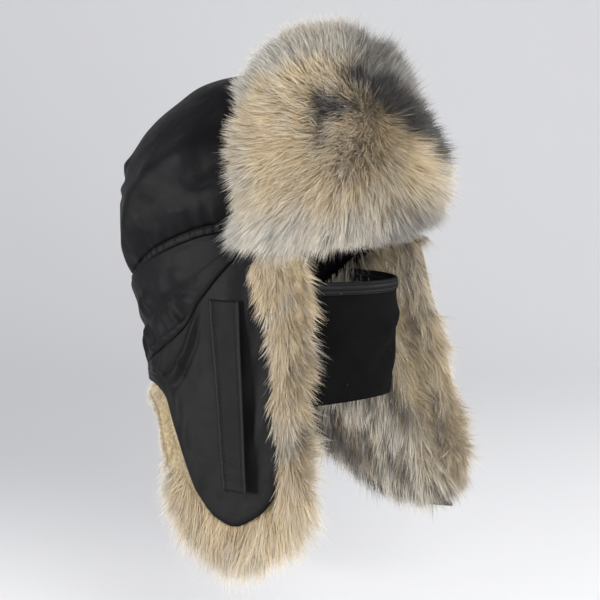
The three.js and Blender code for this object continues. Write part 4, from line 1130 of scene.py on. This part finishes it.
def lining_tufts(hand, seed):
    """Hair on the inside, round the front edge and along the lower edge of a flap."""

    def face_way(u, v):
        out, ahead, below = flap_frame(hand, u, v)
        fore = 0.95 * smooth((0.3 - u) / 0.3) + 0.3 * crumple(14 * u, 16 * v, 35)
        side = mix(0.5, 0.3, flap_rim(u, v)) + 0.3 * crumple(15 * u, 14 * v, 36)
        return unit(below - out * side[:, None] + ahead * fore[:, None])

    inside = {
        "root": lambda u, v: flap_skin(hand, u, v, 0.6),
        "way": face_way,
        "face": lambda u, v: -flap_frame(hand, u, v)[0],
        "length": lambda u, v: 17 + 3 * v,
        "dye": flap_dye(hand),
    }

    def front_patch(a):
        """The strip past the shell's front edge; a(u) is 0 on its inside and 1 on its outside."""

        def strip(read):
            def part(u, v, *rest):
                return read(0.94 * u * mix(0.16, 0.11, smooth(2 * v)), mix(0.0, 0.96, v), *rest)

            return part

        frame_at = strip(lambda s, t: flap_frame(hand, s, t))

        def way(u, v):
            out, ahead, below = frame_at(u, v)
            lift = mix(-0.35, 0.85, a(u)) + 0.3 * crumple(5 * u, 16 * v, 33)
            fore = mix(0.65, mix(-0.5, 0.15, v), smooth(u)) + 0.45 * crumple(6 * u, 18 * v, 34)
            down = 1.0 - 0.3 * v
            return unit(ahead * fore[:, None] + below * down[:, None] + out * lift[:, None])

        def face(u, v):
            out, ahead, below = frame_at(u, v)
            return out * mix(-1, 1, a(u))[:, None] + ahead

        def root(u, v):
            deep = 0.62 * (1 - a(u))
            p = strip(lambda s, t: flap_skin(hand, s, t, deep))(u, v)
            return p + outward(p) * (3.2 * a(u) * smooth(u / 0.6))[:, None]

        def length(u, v):
            return 18 + 3 * v - 4 * u

        dye = strip(flap_dye(hand))
        return {"root": root, "way": way, "face": face, "length": length, "dye": dye}

    def lower_way(u, v):
        out, ahead, below = flap_frame(hand, u, v)
        back = smooth((u - 0.4) / 0.3)[:, None]
        front = smooth((0.22 - u) / 0.22)[:, None]
        lift = 0.18 + 0.25 * crumple(16 * u, 5 * v, 37)
        return unit(below + ahead * (0.45 * front - 0.5 * back) + out * lift[:, None])

    def lower_length(u, v):
        back = smooth((u - 0.45) / 0.3)
        return (1 if hand < 0 else 0.75) * mix(33, 13, back) * mix(1, mix(0.85, 0.6, back), v)

    def row(u, v):
        return mix(mix(0.9, 0.8, smooth((u - 0.55) / 0.3)), 1.0, v)

    lower = {
        "root": lambda u, v: flap_skin(hand, u, row(u, v), 0.15),
        "way": lambda u, v: lower_way(u, row(u, v)),
        "face": lambda u, v: flap_frame(hand, u, row(u, v))[0],
        "length": lower_length,
        "dye": lambda u, v, p: flap_dye(hand)(u, row(u, v), p),
    }

    def top_way(u, v):
        out, ahead, below = flap_frame(hand, TOP_PART * u, 0 * v)
        return unit(0.9 * out + 0.15 * ahead - 0.6 * below)

    top = {
        "root": lambda u, v: flap_skin(hand, TOP_PART * u, 0 * v, 0.05 + 0.55 * v),
        "way": top_way,
        "face": lambda u, v: flap_frame(hand, TOP_PART * u, 0 * v)[0],
        "length": lambda u, v: 16 + 0 * u,
        "dye": lambda u, v, p: flap_dye(hand)(TOP_PART * u, 0 * v, p),
    }
    outer, inner = front_patch(lambda u: u**0.5), front_patch(lambda u: 0.5 * u)
    n = LINING_HAIRS
    return [
        Tuft(seed + 4, 110, n, 0.08, **top, wide=0.45, close=0.4, sag=0.95),
        Tuft(seed, 1000, n, 0.022, **inside, wide=0.46, sag=0.15, close=0.6),
        Tuft(seed + 1, 480, n, 0.03, **outer, wide=0.4, close=0.25),
        Tuft(seed + 2, 260, n, 0.03, **inner, wide=0.4, close=0.4),
        Tuft(seed + 3, 700, n, 0.02, **lower, wide=0.42, sag=0.06, close=0.8),
    ]


for hand, side in ((-1, "right"), (1, "left")):
    pillow(
        side + "_lining_wool",
        48,
        48,
        lambda u, v, inside, hand=hand: lining_closed(hand, u, v, inside),
        side + "_flap_fur",
        "flap_fur",
    )
    hair_piece(side + "_lining_hair", lining_tufts(hand, 50 + 5 * hand))


# Fur behind the neck.
NAPE_SEAT = -BAND_WALL - ELASTIC_INSET - FUR_SEAT


def nape_skin(u, v, depth):
    turn = mix(NAPE_TURN, 360 - NAPE_TURN, u)
    z = hem_z(turn) + mix(NAPE_LINING - 2, -NAPE_FUR_DROP, v)
    return body_point(turn_share(turn), turn_hand(turn), z, NAPE_SEAT - NAPE_PILE * depth)


def nape_closed(u, v, inside):
    swell = np.sqrt((1 - np.abs(2 * u - 1) ** 12) * (1 - np.abs(2 * v - 1) ** 10))
    return nape_skin(u, v, np.where(inside, 0.12 + 0.6 * swell, 0.12))


def nape_way(u, v):
    out = outward(nape_skin(u, v, 0))
    return unit(DOWN - out * mix(0.55, -0.05, smooth((v - 0.5) / 0.5))[:, None])


def nape_patch(bottom, depth, length):
    """Readings of the fur behind the neck, from a share of the way down to its lower edge."""
    readings = {
        "root": lambda u, v: nape_skin(u, v, depth),
        "way": nape_way,
        "face": lambda u, v: -outward(nape_skin(u, v, 0)),
        "length": lambda u, v: length + 0 * u,
        "dye": flap_dye(-1),
    }
    return {
        name: (lambda u, v, *rest, f=f: f(u, mix(bottom, 1, v), *rest))
        for name, f in readings.items()
    }


pillow("nape_wool", 28, 18, nape_closed, "nape_fur", "flap_fur")
nape_tufts = [
    Tuft(80, 230, NAPE_HAIRS, 0.04, **nape_patch(0, 0.6, 17)),
    Tuft(81, 120, NAPE_HAIRS, 0.04, **nape_patch(0.93, 0.35, 16)),
]
hair_piece("nape_hair", nape_tufts)


# Stage.
FLOOR_Z, SWEEP_RADIUS, SWEEP_TURN, FLOOR_LONG, FLOOR_HALF_WIDTH = -0.42, 1.4, 2.2, 7, 9


def stage():
    """A pale studio sweep, soft lamps and the camera at the photograph's angle."""
    away = Vector((-0.8245, -0.5561, 0.1045)).normalized()
    behind = Vector((-away.x, -away.y, 0)).normalized()
    bm = bmesh.new()
    bmesh.ops.create_grid(bm, x_segments=1, y_segments=60, size=1)
    up = Vector((0, 0, 1))
    for vert in bm.verts:
        far = FLOOR_LONG * vert.co.y
        turned = min(max(far - SWEEP_RADIUS, 0), SWEEP_TURN) / SWEEP_RADIUS
        reach = min(far, SWEEP_RADIUS) + SWEEP_RADIUS * math.sin(turned)
        rise = SWEEP_RADIUS * (1 - math.cos(turned)) + max(far - SWEEP_RADIUS - SWEEP_TURN, 0)
        aside = behind.cross(up) * FLOOR_HALF_WIDTH * vert.co.x
        vert.co = behind * reach + aside + up * (rise + FLOOR_Z)
    mesh = bpy.data.meshes.new("floor")
    bm.to_mesh(mesh)
    bm.free()
    shade_smooth(mesh)
    pale = Finish("pale_floor", Base_Color=(0.9, 0.9, 0.91, 1), Roughness=0.95)
    mesh.materials.append(pale.material)
    add_object("floor", mesh)

    def lamp(name, azimuth, elevation, distance, size, watts, spread=180):
        data = bpy.data.lights.new(name, "AREA")
        data.shape, data.size, data.energy = "DISK", size, watts
        data.spread = math.radians(spread)
        lit = add_object(name, data)
        az, el = math.radians(azimuth), math.radians(elevation)
        way = Vector((math.sin(az) * math.cos(el), -math.cos(az) * math.cos(el), math.sin(el)))
        lit.location = Vector((0, 0, -0.13)) + way * distance
        lit.rotation_euler = (-way).to_track_quat("-Z", "Y").to_euler()

    lamp("key", -38, 16, 2.1, 1.3, 43)
    lamp("front", -8, 5, 2.3, 1.2, 24)
    lamp("left_side", 48, 26, 2.2, 1.0, 15)
    lamp("right_side", -126, 0, 1.6, 0.5, 3.6, 60)

    world = bpy.data.worlds.new("studio")
    bpy.context.scene.world = world
    world.use_nodes = True
    sky = world.node_tree.nodes["Background"].inputs
    sky["Color"].default_value, sky["Strength"].default_value = (0.95, 0.96, 1, 1), 0.38

    camera = add_object("camera", bpy.data.cameras.new("camera"))
    camera.data.lens, camera.data.sensor_width = 100, 36
    target = Vector((0.02133, -0.01004, -0.15209))
    camera.location = target + away * 1.278
    camera.rotation_euler = (-away).to_track_quat("-Z", "Y").to_euler()
    bpy.context.scene.camera = camera
    bpy.context.scene.view_settings.view_transform = "Standard"


stage()
